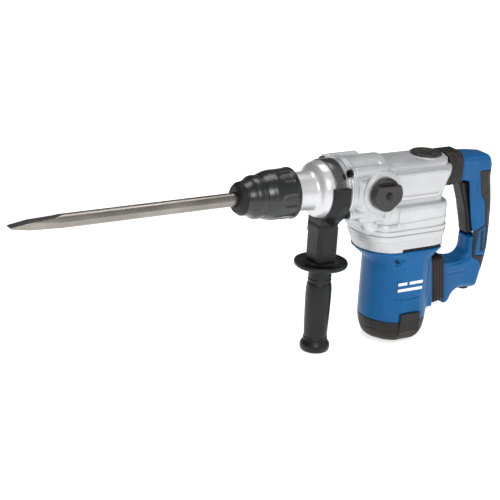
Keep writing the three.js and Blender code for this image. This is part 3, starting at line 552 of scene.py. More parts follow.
def turned(name, body, look, replaced, profile, axis="x", centre=(0, AXIS_Z), sides=96, radius=0.5):
    """Turned piece: open profiles are capped, and profiles that return to their start are rings."""
    ring = profile[0] == profile[-1]
    if ring:
        smooth = softened(profile + [profile[1]], radius)[1:-1]
    else:
        smooth = softened(profile, radius)
    points, faces = swept(turned_rings(smooth, axis, centre, sides), ring)
    piece(name, body, look, replaced, points, faces)


add_camera()
add_studio()

# ---- Chisel and chuck ----


def dense(profile, step):
    """The same profile with its long runs split."""
    points = [profile[0]]
    for a, b in zip(profile, profile[1:]):
        parts = max(1, math.ceil(math.hypot(b[0] - a[0], b[1] - a[1]) / step))
        for i in range(1, parts + 1):
            points.append((a[0] + (b[0] - a[0]) * i / parts, a[1] + (b[1] - a[1]) * i / parts))
    return points


def add_chisel():
    """A round bar clipped to a height and a width that taper to the edge."""
    tip, rear, shank_r, sides = -580.5, -180.5, 9.0, 96
    heights = ((tip, 0.6), (-579.0, 1.1), (-555.0, 4.7), (-522.0, 6.6), (-508.0, 10.0), (rear, 10.0))
    widths = ((tip, 6.7), (-488.0, 10.0), (rear, 10.0))
    stations = [tip, tip + 0.5, -579, *np.linspace(-577, -500, 60), *np.linspace(-497, -270, 40),
                -265, -227, rear - 2, rear]
    angles = np.arange(sides) * 2 * math.pi / sides
    rings = []
    for x in stations:
        h = np.interp(x, *zip(*heights))
        w = np.interp(x, *zip(*widths))
        radius = shank_r - max(0.0, x - rear + 2)
        y, z = radius * np.cos(angles), radius * np.sin(angles)
        rings.append(np.stack([np.full(sides, x), np.clip(y, -w, w), AXIS_Z + np.clip(z, -h, h)],
                              1).tolist())
    made = piece("flat_chisel", "tool", "chisel_steel", "chisel", *swept(rings))
    crisp = made.modifiers.new("crisp", "EDGE_SPLIT")
    crisp.split_angle = math.radians(28)


def add_chuck():
    def recesses(x, angles, radius):
        """Six finger hollows round the wide part, each with a rounded front end; none in the bore."""
        turn = np.abs((angles - math.pi / 6) % (math.pi / 3) - math.pi / 6) * radius
        past = max(0.0, -(x + 208))
        reach = 9.6 - np.hypot(turn, past)
        back = np.clip((-193.2 - x) / 1.2, 0, 1)
        share = np.clip(reach / 3.0, 0, 1) * back
        deepest = 1.9 if radius > 30 else 0.0  # the bore's radii are smaller
        return deepest * share * share * (3 - 2 * share)

    shell = [(-262, 17.0), (-262, 22.3), (-259, 22.6), (-254, 24.1), (-250.6, 26.0), (-249.6, 26.9),
             (-247, 28.3), (-243.5, 29.0), (-241.4, 28.9), (-241.0, 28.3), (-240.0, 28.3),
             (-239.6, 28.8), (-236.6, 28.4), (-236.2, 27.7), (-234.8, 27.9), (-234.4, 28.8),
             (-229, 30.9), (-222.5, 32.8), (-218, 33.3), (-192.6, 33.9), (-192.2, 33.2),
             (-191.2, 33.2), (-190.8, 34.3), (-188.6, 34.3), (-188, 33.7), (-188, 27.6),
             (-215, 27.6), (-215, 24.8), (-246, 24.8), (-246, 17.0), (-262, 17.0)]
    head = dense(softened(shell[:-1], 0.35), 1.1) + [shell[-1]]
    points, faces = swept(turned_rings(head[:-1], "x", (0, AXIS_Z), 144, recesses), True)
    piece("sleeve_shell", "sleeve", "chuck_black", "chuck_sleeve", points, faces)
    boot = [(-262.4, 9.7), (-270, 9.7), (-270.4, 10.4), (-270.4, 13.6), (-269.6, 14.6),
            (-269.6, 15.6), (-270.2, 16.4), (-268.8, 18.6), (-266.5, 20.4), (-265.6, 20.5),
            (-265.2, 21.4), (-263.6, 22.2), (-262.4, 22.2), (-262.4, 9.7)]
    turned("dust_boot", "spindle", "rubber_seal", "dust_cap", boot, radius=0.4)


# ---- Front barrel, its screws and the side handle ----


def add_barrel():
    g = Grid((-190, -43, AXIS_Z - 43), (-111, 43, AXIS_Z + 43), 0.75)
    X, Y, H = g.X, g.Y, g.Z - AXIS_Z
    R = np.hypot(Y, H)
    outside = [(-190, 0), (-190, 25.8), (-189.6, 26.3), (-162, 26.3), (-159.5, 26.6), (-157.2, 27.8),
               (-155.4, 29.8), (-153.8, 32.8), (-152.0, 35.2), (-149.6, 36.9), (-146.4, 37.9),
               (-143.0, 38.6), (-120, 38.6), (-118.4, 37.0),
               (-114.8, 36.8), (-114.8, 41.8), (-114.2, 42.2), (-111.8, 42.2), (-111.8, 0)]
    body = polygon(outside, X, R)
    room = polygon([(-191, 0), (-191, 20.6), (-160, 20.6), (-135, 32), (-111, 32), (-111, 0)], X, R)
    for y, z in BOSSES:
        body = join(body, span(tube(Y - y, H - z, BOSS_R), X, -114.8, -111.8), 2.0)
    body = cut(body, room)
    for y, z in BOSSES:
        body = cut(body, tube(Y - y, H - z, SCREW_HOLE_R))
    moulded("barrel_casting", "frame", "machined_aluminium", "front_barrel", body, g)


def add_barrel_screws():
    for i, (y, z) in enumerate(BOSSES):
        g = Grid((-119.4, y - 5.3, AXIS_Z + z - 5.3), (-93, y + 5.3, AXIS_Z + z + 5.3), 0.36)
        U, V = g.Y - y, g.Z - AXIS_Z - z
        head = span(tube(U, V, 5.1), g.X, -119.2, -115.1, 0.7)
        shank = span(tube(U, V, 2.6), g.X, -116, -93.4, 0.4)
        socket = overlap(hexagon(U, V, 2.1), g.X + 116.6)
        moulded(f"socket_screw_{i + 1}", "frame", "black_screw", f"barrel_screw_{i + 1}",
                cut(join(head, shank), socket), g, keep=0.35)


def add_clamp():
    band = [(-139, 38.95), (-139, 40.0), (-138.6, 40.4), (-122.4, 40.4), (-122, 40.0), (-122, 38.95),
            (-139, 38.95)]
    turned("band_ring", "side_clamp", "band_steel", "clamp_band", band, sides=160, radius=0.2)

    g = Grid((-144.6, -47, AXIS_Z - 102), (-112, 47, AXIS_Z + 12), 0.75)
    X, Y, H = g.X, g.Y, g.Z - AXIS_Z
    post_x, post_half, bottom, yoke_half = -128.3, 17, -101, 46
    arms = overlap(tube(Y, H, 47.6), np.abs(Y) - yoke_half, H - 0.01)
    sides = overlap(np.abs(Y) - yoke_half, H - 11, -H - 8)
    stem = overlap(np.abs(Y) - post_half, H + 30, bottom - H)
    front = join(join(arms, sides), stem, 14.0)
    body = span(front, X, -144, -119.3, 1.0)
    chamfer = (np.abs(X - post_x) + np.abs(Y)) * 0.7071 - 19.6
    relief = (X + 144) * 0.55 - (np.hypot(Y, H) - 40.5) * 0.83
    body = cut(body, overlap(relief, post_half - np.abs(Y)), 2.0)
    post = overlap(np.abs(X - post_x) - 15.7, np.abs(Y) - post_half, chamfer)
    post = both(post, overlap(H + 51.0, bottom - H), 3.0)
    body = overlap(body, np.where(H < -62, chamfer, -9.0))
    body = join(body, post, 5.0)
    band_room = overlap(tube(Y, H, 40.75), np.abs(X + 130.5) - 8.9)
    for room in (band_room, tube(Y, H, 39.1), span(tube(X - CLAMP_X, Y, 4.5), H, -110, -39)):
        body = cut(body, room)
    moulded("yoke_moulding", "side_clamp", "black_plastic", "clamp_yoke", body, g)
    bolt = [(AXIS_Z - 143, 0), (AXIS_Z - 143, 3.4), (AXIS_Z - 142.4, 4), (AXIS_Z - 42.2, 4),
            (AXIS_Z - 41.6, 3.4), (AXIS_Z - 41.6, 0)]
    turned("clamp_stud", "side_clamp", "steel", "clamp_bolt", bolt, "z", (CLAMP_X, 0), 48)


def add_side_grip():
    profile = [(-11, 3), (-11, 17.4), (-10.4, 18.6), (-8, 20.2), (-4, 20.8), (-1.5, 20.6), (0.4, 19.8),
               (3, 18.2), (4.2, 17.2), (5.2, 17.2), (6.0, 16.3), (7.0, 16.3), (7.8, 16.9), (9, 16.9),
               (9.8, 16.2), (12, 16.1), (24, 16.6), (40, 17.2), (58, 17.6), (72, 17.8), (80, 17.6),
               (86, 16.9), (88.2, 16.3), (89.2, 15.5), (90.4, 15.5), (91.2, 16.2), (94.4, 16.2),
               (95.2, 15.5), (96.6, 15.5), (97.4, 16.1), (101, 15.7), (106, 15.9), (109.6, 17.5),
               (111.4, 22), (112.2, 30), (112.8, 34.6), (113.8, 36.1), (115.4, 36.7), (118, 36.7),
               (119.2, 36.1), (119.4, 34.8), (118.2, 32), (117.6, 26), (118.2, 21.5), (119.4, 20),
               (120.5, 19), (120.5, 8.2), (72, 8.2), (72, 3)]
    turned("grip_moulding", "side_grip", "black_plastic", "side_grip", profile + [profile[0]], "z",
           (CLAMP_X, 0), 128, radius=0.7)


# ---- Gearbox castings ----


def arc(x, y, radius, angles):
    return [(x + radius * math.cos(a), y + radius * math.sin(a)) for a in angles]


def arc_plan(front, back, half, nose, corner):
    """Plan corners with a round nose towards -X and rounded back corners."""
    swing = math.asin(min(1, half / nose))
    turn = np.linspace(-math.pi / 2, 0, 9)
    return (arc(front + nose, 0, nose, np.linspace(math.pi - swing, math.pi + swing, 33))
            + arc(back - corner, corner - half, corner, turn)
            + arc(back - corner, half - corner, corner, -turn[::-1]))


def eased(points, reach):
    """A closed plan with its creases spread over a length of about twice the reach."""
    ends = np.array(points + points[:1])
    along = np.concatenate([[0], np.cumsum(np.hypot(*np.diff(ends, axis=0).T))])
    count = int(along[-1] / 2.5)
    even = np.arange(count) * along[-1] / count
    half = int(round(reach / 2.5))
    columns = []
    for k in (0, 1):
        values = np.interp(even, along, ends[:, k])
        columns.append(sum(np.roll(values, i) for i in range(-half, half + 1)) / (2 * half + 1))
    return list(zip(*columns))


LOWER_PLAN = eased(arc_plan(-77, 54, 46, 60, 22), 10)
FOOT_PLAN = eased(arc_plan(-70.8, 52.5, 45.5, 48, 22), 10)


def add_gear_housing():
    g = Grid((-112, -50, 156.5), (99, 50, 266), 0.95)
    X, Y, Z = g.X, g.Y, g.Z
    S, H = np.abs(Y), Z - AXIS_Z
    R = np.hypot(Y, H)

    # The block over the crank: flanks with a sunk panel and a rail each, and a narrower roof.
    rear = np.interp(Z, (206, 221, 226, 234, 244, 254), (44, 50.5, 52.6, 56.6, 57.6, 57))
    flank = outline([(-40, 150), (44, 150), (44, 239.5, 3), (42, 241.6, 2), (31, 245.2),
                     (-40, 245.2)], S, Z)
    flank = both(flank, box2(X - (rear - 140) / 2, Y, (rear + 140) / 2, 44, 24), 2.0)
    upper = both(both(flank, 206 - Z, 2.0), -(X + 53))
    panel = outline([(-34, 211.5, 3), (-34, 236.8, 6), (40, 236.8, 3), (34, 211.5, 3)], X, Z)
    upper = cut(upper, overlap(panel, 42.3 - S), 0.8)
    upper = join(upper, span(tube(S - 40.6, Z - 241.2, 2.6), X, -50, 40, 2.0), 1.0)
    roof = outline([(-40, 225), (32, 225), (32, 249, 3), (27, 253, 5), (0, 257.5, 20),
                    (-40, 257.5)], S, Z)
    roof = both(roof, box2(X + 42, Y, rear + 42, 32, 22), 2.5)
    roof = both(roof, -(X + 50))
    roof = cut(roof, overlap(OIL_SEAT_Z - Z, 4 - X), 2.0)
    pad = span(tube(X - OIL_X, Y, 25), Z, 236, OIL_SEAT_Z, 0.8)
    body = join(join(upper, roof, 1.6), pad, 3.0)
    waist = both(box2(X + 50, Y, 95, 37, 14), np.abs(Z - 203) - 14)
    body = join(body, both(waist, -(X + 45)), 4.0)

    # The front cylinder with its belly, flange, screw bosses and rear collar.
    front = both(R - 40.6, overlap(X + 48, -(X + 111.5)), 0.8)
    belly = polygon([(-40, 180), (38, 180), (43, 205), (43.6, 222), (38, 236), (-40, 236)], S, Z)
    front = join(front, both(belly, overlap(X + 40, -(X + 98)), 6.0), 8.0)
    front = join(front, span(R - 42.2, X, -111.5, -104.6, 0.8), 0.6)
    for y, z in BOSSES:
        boss = span(tube(Y - y, H - z, BOSS_R), X, -111.5, -60 if z > 0 else -52, 3.0)
        front = join(front, boss, 2.2)
    body = join(body, front, 3.0)
    collar = outline([(-40, 185), (45, 185), (45.4, 238, 6), (40, 248, 8), (26, 256.6, 8),
                      (0, 258.6, 10), (-40, 258.6)], S, Z)
    body = join(body, span(collar, X, -61, -50.5, 1.6), 2.0)

    # The seat and hole of the mode knob, on the near side only.
    seat = span(tube(X - KNOB_X, H, 29.5), Y, -45.4, -25, 0.8)
    boss = span(tube(X - KNOB_X, H, 26.6), Y, -47, -25, 0.8)
    body = join(join(body, seat, 1.4), boss, 0.5)
    body = cut(body, overlap(tube(X - KNOB_X, H, 7.3), Y + 20))

    # The crank case below, with a sill round it, a recess at the front and a chin.
    lower = polygon(LOWER_PLAN, X, Y)
    plan = lower + np.interp(Z, (157, 163.6, 164.6, 166, 175, 190, 195, 198),
                             (-1, -1, 1.2, 1.2, 0.6, 0, 1, 3.5))
    case = both(plan, np.abs(Z - 177.3) - 20, 1.2)
    sill = polygon([(-90, 160), (-90, 170), (-40, 170.5), (-36, 174), (36, 176.4), (60, 176.4),
                    (60, 166), (-90, 162)], X, Z)
    case = join(case, both(plan - 1.0, sill, 1.2), 1.0)
    recess = outline([(-120, 171.5), (-36.5, 173.5, 3), (-36.5, 230, 3), (-120, 230)], X, Z)
    case = cut(case, overlap(recess, -(plan + 3.2)), 1.5)
    chin = outline([(-111.5, 182.5, 3), (-111.5, 205), (-60, 205), (-60, 158.5), (-75, 158.5),
                    (-81.5, 165, 4), (-84, 171, 5), (-93, 178.5, 8)], X, Z)
    body = join(join(body, case, 3.0), slab(chin, Y, 32, 12), 5.0)

    # Rooms and bores for the mechanism, and the tongue that guides the rear handle.
    rooms = (overlap(tube(X - CRANK_X, Y, 20.5), np.abs(Z - 193) - 9),   # crank web
             overlap(R - 33, H - 26, X - 30, -(X + 97)),                 # striking mechanism
             overlap(lower + 7, Z - 168),                                # gears
             brick(g, (24, -20, 214), (44.5, 20, 230), 0.2),             # connecting rod
             overlap(R - 29.3, X + 96),                                  # front bearing
             overlap(tube(X - CRANK_X, Y, 16.3), np.abs(Z - 176) - 14),  # crank bearing
             overlap(tube(X - OIL_X, Y, 18.3), 236 - Z))                 # oil filler
    for room in rooms:
        body = cut(body, room)
    for y, z in BOSSES:
        body = cut(body, overlap(tube(Y - y, H - z, SCREW_HOLE_R), X + 90))
    body = join(body, span(tube(Y, Z - UPPER_GUIDE_Z, 5), X, 46, 98, 0.6))
    moulded("gearbox_casting", "frame", "cast_aluminium", "gear_housing", body, g, keep=0.5)


def add_bearing_plate():
    g = Grid((-78, -48.5, 130.5), (56, 48.5, 158), 0.8)
    X, Y, Z = g.X, g.Y, g.Z
    foot, top = polygon(FOOT_PLAN, X, Y), polygon(LOWER_PLAN, X, Y)
    share = np.clip((Z - 133) / 12.5, 0, 1)
    step = np.interp(Z, (147.0, 148.2, 153.8, 154.8), (0, -1.6, -1.8, -2.8))
    plan = foot * (1 - share) + (top + 1.6) * share + step
    body = both(plan, np.abs(Z - 144.3) - 12.8, 1.2)
    for room in (overlap(plan + 6, 141 - Z), tube(X, Y, 7), overlap(foot + 3.2, Z - 135)):
        body = cut(body, room)
    body = cut(body, overlap(-26 - X, X - 41, Z - 135.6, Y + 20), 0.6)
    moulded("plate_casting", "frame", "cast_aluminium", "bearing_plate", body, g)

    g = Grid((-27, -46, 130.8), (43, -20, 136), 0.6)
    X, Y, Z = g.X, g.Y, g.Z
    plan = polygon(FOOT_PLAN, X, Y)
    strip = overlap(plan + 0.9, -(plan + 3.0), np.abs(Z - 133.4) - 1.8, np.abs(X - 7.4) - 33, Y + 22)
    ribs = np.abs((X + 26) % 5.0 - 2.5) - 1.5
    strip = cut(strip, overlap(ribs, -(plan + 1.9)))
    moulded("vent_strip", "frame", "rubber_seal", None, strip, g)


def add_oil_cap():
    g = Grid((9, -23, 243), (55, 23, 258), 0.5)
    U, V, Z = g.X - OIL_X, g.Y, g.Z
    R = np.hypot(U, V)
    profile = [(0, 254.5), (22.2, 254.5), (22.2, 256.6), (21.4, 257.4), (19.6, 257.4), (18.8, 256.2),
               (17.2, 256.2), (16.6, 257.2), (14.8, 257.2), (14.2, 255.8), (0, 255.8)]
    disc = polygon(profile, R, Z)
    angle = np.arctan2(V, U)
    spoke = np.abs((angle + math.pi / 8) % (math.pi / 4) - math.pi / 8) * R - 0.8
    disc = join(disc, overlap(spoke, R - 21, 9 - R, np.abs(Z - 256) - 1.1), 0.5)
    along, across = U * 0.94 + V * 0.34, V * 0.94 - U * 0.34  # the grip bar stands askew
    bar = box2(along, across, 10.5, 4.4, 4.2)
    disc = join(disc, overlap(bar, np.abs(Z - 256.2) - 1.7), 1.2)
    disc = cut(disc, overlap(box2(along, across, 8.4, 2.4, 2.2), 257.0 - Z), 0.6)
    stem = cut(span(R - 17.9, Z, 244, 255, 0.4), overlap(R - 14, Z - 251))
    disc = cut(join(disc, stem), overlap(16.6 - R, np.abs(Z - 250.3) - 1.4))
    moulded("oil_cap_moulding", "frame", "mode_black", "oil_cap", disc, g)


def add_mode_knob():
    g = Grid((-91.5, -62.5, 199), (-45.5, -32.5, 245), 0.55)
    U, V, Y = g.X - KNOB_X, g.Z - AXIS_Z, g.Y
    R = np.hypot(U, V)
    disc = span(R - 22.3, Y, -53.0, -47.3, 0.8)
    crown = span(both(R - 21.2, 16.6 - V), Y, -56.0, -48, 1.2)
    shape = both(both(R - 22.3, V - 13.4 + U * 0.03), U * 0.62 - V * 0.785 - 20.4, 1.5)
    bar = span(shape, Y, -60.5, -48, 1.6)
    body = join(join(disc, crown, 0.6), bar, 0.6)
    body = join(body, span(R - 7, Y, -50, -33, 0.3))
    body = cut(body, overlap(np.abs(R - 6.4) - 0.5, Y + 60.0), 0.4)
    body = cut(body, overlap(R - 4.6, Y + 53.5), 0.8)
    moulded("knob_moulding", "mode_knob", "mode_black", "mode_knob", body, g)
    button = [(-61.6, 0), (-61.6, 1.4), (-61.1, 1.9), (-60.9, 2.6), (-61.4, 3.2), (-61.4, 3.7),
              (-60.9, 4.2), (-56.6, 4.2), (-56.6, 0)]
    turned("button_moulding", "mode_button", "black_plastic", "mode_button", button, "y",
           (KNOB_X, AXIS_Z), 48, radius=0.25)


# ---- Motor housing ----


def motor_plan():
    """Plan of the motor housing: round ends, flat flanks and a flat facet on each front corner."""
    nose = (-3.2, 0, 47.3)  # centre and radius
    rear = arc(0, 0, 46, np.radians(np.linspace(-75, 75, 25)))
    front = (arc(*nose, np.radians(np.linspace(109, 142, 8)))
             + arc(*nose, np.radians(np.linspace(161, 180, 6))))
    return rear + front + [(x, -y) for x, y in front[-2::-1]]


MOTOR_PLAN = motor_plan()


def add_motor_housing():
    g = Grid((-71, -48, 26), (91, 48, 135.5), 0.95)
    X, Y, Z = g.X, g.Y, g.Z
    low, foot = polygon(MOTOR_PLAN, X, Y), polygon(FOOT_PLAN, X, Y) + 0.2
    share = np.interp(Z, (111, 114, 128.3, 129.5), (0, 0.1, 0.96, 1))
    plan = low * (1 - share) + foot * share
    brow = polygon([(-84, 140), (-42, 112), (-31, 106), (-20, 112), (40, 131), (70, 140)], X, Z)
    plan = join(plan, both(plan - 0.9, brow), 0.6)
    body = both(plan, np.abs(Z - 79.1) - 52.1, 0.6)
    body = join(body, both(foot + 3.4, np.abs(Z - 130) - 4.6, 0.5))

    # The box behind, whose back leans with the lower bellows.
    box = outline([(0, 34.5), (50.2, 34.5, 4), (41.3, 109, 6), (34, 114.5, 4), (0, 118)], X, Z)
    body = join(body, slab(box, Y, 28, 5), 5.0)
    behind = (X - 50.2) * 0.993 + (Z - 34.5) * 0.1186
    body = overlap(body, np.where(Z < 112, behind, -9.0))

    # Hollows in the near flank: (shape, depth, fillet).
    dent = outline([(-38, 123, 1), (-20.5, 120.8, 1.5), (-29.5, 109.2, 1.5)], X, Z)
    ledge = outline([(-29, 42, 1), (10, 42, 1), (10, 55.5, 1), (-29, 55.5, 1)], X, Z)
    line = overlap(np.abs(Z - 61.8) - 1.5, -29 - X, X - 9)
    for flat, depth, fillet in ((dent, 1.8, 0.8), (ledge, np.interp(Z, (42, 55.5), (0.0, 1.7)), 0.6),
                                (line, 1.6, 0.8)):
        body = cut(body, overlap(flat, -(plan + depth), Y), fillet)
    for room in (overlap(-20.4 - X, X - 13.4, Z - 40.4, Y + 42.9, -(plan + 1.9)),  # tab of the cap
                 span(tube(X, Y, 42.4), Z, 10, 121, 0.2),                          # stator
                 overlap(tube(X, Y, 13.4), np.abs(Z - 123) - 8.4),                 # upper bearing
                 tube(X, Y, 7.5)):                                                 # shaft
        body = cut(body, room)
    body = join(body, span(tube(Y, Z - LOWER_GUIDE_Z, 5), X, 40, 90))
    moulded("motor_casing", "frame", "blue_plastic", "motor_housing", body, g)

    g = Grid((-32.6, -42.5, 113.9), (-25.4, -35.5, 121.1), 0.3)
    U, V, Y = g.X + 29, g.Z - 117.5, g.Y
    head = span(tube(U, V, 3.1), Y, -41.6, -36)
    moulded("casing_screw", "frame", "black_screw", "housing_screw",
            cut(head, overlap(hexagon(U, V, 1.5), Y + 39.8)), g, keep=0.5)


def add_motor_cap():
    g = Grid((-51.5, -48.5, -4.2), (47.5, 47.5, 41), 0.85)
    X, Y, Z = g.X, g.Y, g.Z
    plan = polygon(MOTOR_PLAN, X, Y)
    shift = np.interp(Z, (-4, -3, -0.5, 3, 9, 17, 27), (12.0, 10.0, 7.2, 5.0, 2.6, 0.9, 0.1))
    shift = shift + np.where(np.abs(Z - 13.6) < 0.7, 0.6, 0.0)
    body = both(plan + shift, np.abs(Z - 11.35) - 15.35, 0.8)
    body = cut(body, overlap(plan + 8, 10 - Z), 2.0)
    tab = brick(g, (-20, -47.3, 12), (13, -44.7, 40), 0.8)
    root = brick(g, (-20, -47.3, 6), (13, -38, 26.6), 0.8)
    lower = overlap(root, -(47.3 + Y) + (14 - Z) * 0.45)
    body = join(join(body, tab, 0.6), lower, 0.6)
    body = cut(body, overlap(tube(X, Y, 30), 8 - Z))
    cup = cut(span(tube(X, Y, 14), Z, 6, 20), overlap(tube(X, Y, 11.3), 9.5 - Z))
    body = join(body, cup)
    moulded("cap_moulding", "frame", "cap_plastic", "motor_cap", body, g)


def add_mark():
    """Three plain pad-printed bars on the motor housing's flank."""
    for i, (left, right) in enumerate(((-28, -12), (-9, 14), (-28, 14))):
        low = 82 if i < 2 else 73
        g = Grid((left, -45.2, low), (right, -44.0, low + 6), 0.3)
        bar = brick(g, (left + 0.3, -44.75, low + 0.3), (right - 0.3, -44.3, low + 4.8), 0.2)
        moulded(f"pad_print_{i + 1}", "frame", "print_white", None, bar, g, keep=0.3)


# ---- Rear handle ----
HANDLE = [(82, 250.8, 4.5), (112, 250.8, 8), (137, 247.5, 10), (143, 233, 8), (142, 217, 8),
          (148.5, 179, 20), (151, 138, 20), (150, 112, 20), (146, 86, 20), (136.5, 46.5, 8),
          (100, 51, 8), (88, 46.5, 5), (82, 35, 5), (71.5, 33, 5), (63.2, 98, 5), (101, 93.5, 12),
          (113.5, 103, 8), (113, 128, 5), (110, 138, 5), (103.5, 167, 8), (94.5, 213, 4.5),
          (82, 213, 4.5)]
SOFT = [(117, 225.5, 3), (172, 227), (172, 69), (142.5, 69, 2), (132.5, 90.5, 3), (119.5, 96, 3),
        (119.5, 136, 3), (137, 144, 3), (132, 179, 4), (124.5, 188.5, 3)]
TRIGGER = [(88.6, 211, 3), (108, 211, 3), (117.5, 165, 6), (122.5, 131, 3), (112.2, 131, 3),
           (105.6, 164, 8)]
PIVOT = (118, 135)  # of the trigger


def handle_field(g):
    """The whole rear handle: a rounded D whose arms widen towards the bellows."""
    X, Y, Z = g.X, g.Y, g.Z
    side = outline(HANDLE, X, Z, 8)
    upper = np.interp(X, (80, 84, 112), (22.6, 22.3, 18.5))
    lower = np.interp(X, (62, 72, 108), (24.4, 23.8, 18.5))
    half = np.where(Z > 160, upper, np.where(Z < 112, lower, 18.5))
    rounding = np.where(Z > 160, np.interp(X, (80, 90, 118), (4, 7, 11)),
                        np.interp(X, (62, 85, 116), (4, 6, 12)))
    rounding = rounding + np.interp(Z, (108, 126, 215, 232), (0, 2, 2, 0))
    return edged(side, np.abs(Y) - half, rounding)


def add_rear_handle():
    g = Grid((62, -26, 32), (152, 26, 252), 0.9)
    X, Y, Z = g.X, g.Y, g.Z
    S = np.abs(Y)
    whole = handle_field(g)
    soft = outline(SOFT, X, Z)
    blue = cut(whole, both(soft, -(whole + 2.8)))
    for z, low, high in ((91.5, 70, 104), (79, 70, 108)):
        crease = overlap(np.abs(Z - z + (X - 86) * 0.04) - 0.7, low - X, X - high)
        blue = cut(blue, overlap(crease, -(whole + 0.8)), 1.4)
    ridge = overlap(np.abs(Z - 244.6 + (X - 94) * 0.04) - 0.6, 92 - X, X - 133)
    blue = cut(blue, overlap(ridge, -(whole + 0.8)), 1.2)

    # Room for the trigger between its cheeks, the switch, the pin, the guides and the cable inlet.
    room = polygon([(80, 216), (114, 216), (122, 165), (127, 126.5), (108, 126.5)], X, Z)
    blue = cut(blue, span(room, Y, -15.2, 15.2))
    cheeks = polygon([(80, 212.5), (99.5, 212.5), (109, 165), (114.2, 131), (106, 131)], X, Z)
    blue = cut(blue, cheeks, 0.8)
    blue = cut(blue, brick(g, (112, -12.3, 150), (137.5, 12.3, 203), 0.2))
    blue = cut(blue, overlap(tube(X - PIVOT[0], Z - PIVOT[1], 2.3), S - 16.1))
    for x, z in ((98, UPPER_GUIDE_Z), (90, LOWER_GUIDE_Z)):
        blue = cut(blue, overlap(tube(Y, Z - z, 5.7), np.abs(X - x + 15) - 25))
    inlet_x = 122
    for radius, top in ((9.8, 50.2), (7.3, 68)):
        blue = cut(blue, overlap(tube(X - inlet_x, Y, radius), Z - top))
    gap = 0.12  # half the joint between the halves
    for half, side in (("left", Y + gap), ("right", gap - Y)):
        moulded(f"handle_shell_{half}", "rear_handle", "blue_plastic", f"handle_{half}",
                overlap(blue, side), g)

    # The soft grip, the window in its flanks with the blue insert, and the insert's dark slot.
    skin = both(soft + 0.25, overlap(whole - 0.3, -(whole + 2.5)), 0.8)
    window = outline([(126.5, 135.5, 2), (140, 143, 2), (141.5, 96.5, 2), (123.5, 98.5, 2)], X, Z)
    window = overlap(window, 10 - S)
    skin = cut(skin, window, 0.6)
    moulded("grip_skin", "rear_handle", "soft_grip_rubber", "soft_grip", skin, g)
    insert = both(window + 0.35, overlap(whole + 0.2, -(whole + 2.4)), 0.5)
    slot = outline([(130.5, 133.5, 1), (136, 137.5, 1), (138.5, 104, 1), (133, 103, 1)], X, Z)
    insert = cut(insert, overlap(slot, -(whole + 1.9)), 0.4)
    moulded("grip_window", "rear_handle", "blue_plastic", None, insert, g)
    rib = both(slot + 0.3, overlap(whole + 1.4, -(whole + 2.4)), 0.3)
    moulded("grip_slot", "rear_handle", "soft_grip_rubber", None, overlap(rib, 10 - S), g)


def add_trigger():
    g = Grid((87.5, -13, 130), (124, 13, 212), 0.6)
    X, Y, Z = g.X, g.Y, g.Z
    body = slab(outline(TRIGGER, X, Z, 8), Y, 12.0, 4.5)
    body = cut(body, tube(X - PIVOT[0], Z - PIVOT[1], 2.3))
    moulded("trigger_moulding", "trigger", "black_plastic", "trigger", body, g)


# ---- Bellows and springs ----


def rounded_ring(half, high, corner):
    """Points round a rectangle with rounded corners, with as many on each corner."""
    points = []
    for sy, sz, start in ((1, 1, 0), (-1, 1, 90), (-1, -1, 180), (1, -1, 270)):
        points += arc(sy * (half - corner), sz * (high - corner), corner,
                      np.radians(start + np.linspace(0, 90, 24)))
    return points


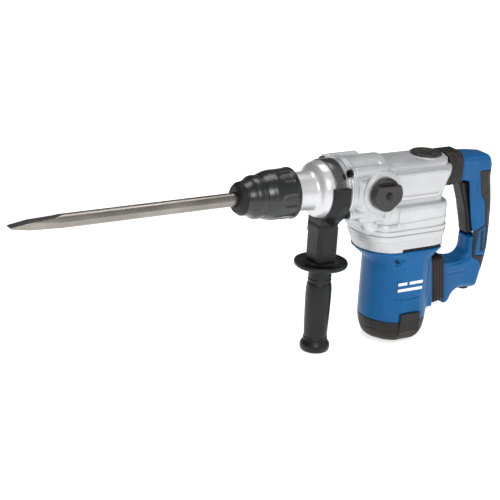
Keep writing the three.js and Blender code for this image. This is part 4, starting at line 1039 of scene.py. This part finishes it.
def add_bellows():
    """Each bellows leans by its tilt and holds a damper coil."""
    folds, depth, wall = 4, 2.4, 3.0
    turns, radius, wire, around = 3, 9.0, 1.5, 10
    for name, at, tilt, high, half, corner, length, lead, foot in (
            ("upper", (60.4, UPPER_GUIDE_Z), 0.0, 24.5, 23.5, 14.0, 21.0, 2.2, 6.8),
            ("lower", (46.25, 71), math.atan2(8.7, 73), 35.2, 25.0, 8.0, 20.0, 0.0, 0.0)):
        c, s = math.cos(tilt), math.sin(tilt)
        outer, steps = [], folds * 12
        for i in range(steps + 1):
            wave = 0.5 - 0.5 * math.cos(2 * math.pi * folds * i / steps)
            outer.append((length * i / steps, depth * wave ** 0.7))
        inner = [(x, shrink + wall) for x, shrink in reversed(outer)]
        boot = []
        for x, shrink in outer + inner:
            ring = rounded_ring(half - shrink, high - shrink, max(1.5, corner - shrink))
            # The front end is drawn forward, and more so below its middle.
            back = [(lead + foot * min(1, max(0, (-4 - z) / 5))) * (1 - x / length) for y, z in ring]
            boot.append([(at[0] + x * c - z * s - b, y, at[1] + x * s + z * c)
                         for (y, z), b in zip(ring, back)])
        coil = []
        for i in range(turns * 32 + 1):
            t = i / (turns * 32)
            a = t * turns * 2 * math.pi
            x = 0.3 + wire + (length - 0.6 - 2 * wire) * t
            ring = []
            for b in np.arange(around) * 2 * math.pi / around:
                r = radius + wire * math.cos(b)
                px, py, pz = x + wire * math.sin(b), r * math.cos(a), r * math.sin(a)
                ring.append((at[0] + px * c - pz * s, py, at[1] + px * s + pz * c))
            coil.append(ring)
        for kind, look, rings, node in (("boot", "bellows_rubber", boot, f"{name}_bellows"),
                                        ("coil", "steel", coil, f"damper_spring_{name}")):
            made = mesh_object(f"{name}_{kind}", look, *swept(rings, kind == "boot"))
            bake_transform(made)
            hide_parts(node)


HIDDEN_LOOKS = {
    "cast_aluminium": ("piston", "con_rod"),
    "lamination_steel": ("armature_core", "stator"),
    "copper": ("commutator",),
    "brass": ("spindle_bearing_front", "grip_insert"),
    "carbon": ("brush_left", "brush_right"),
    "rubber_seal": ("oil_cap_seal",),
    "black_plastic": ("fan", "switch_unit", "cable_inlet"),
}


def dress_frame():
    """Gives every CAD node a procedural material; those not listed are ground steel."""
    looks = {node: look for look, nodes in HIDDEN_LOOKS.items() for node in nodes}
    for name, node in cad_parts.items():
        node.data.materials.clear()
        node.data.materials.append(LOOKS[looks.get(name, "steel")])


dress_frame()
add_chisel()
add_chuck()
add_barrel()
add_barrel_screws()
add_clamp()
add_side_grip()
add_gear_housing()
add_bearing_plate()
add_oil_cap()
add_mode_knob()
add_motor_housing()
add_motor_cap()
add_mark()
add_rear_handle()
add_trigger()
add_bellows()
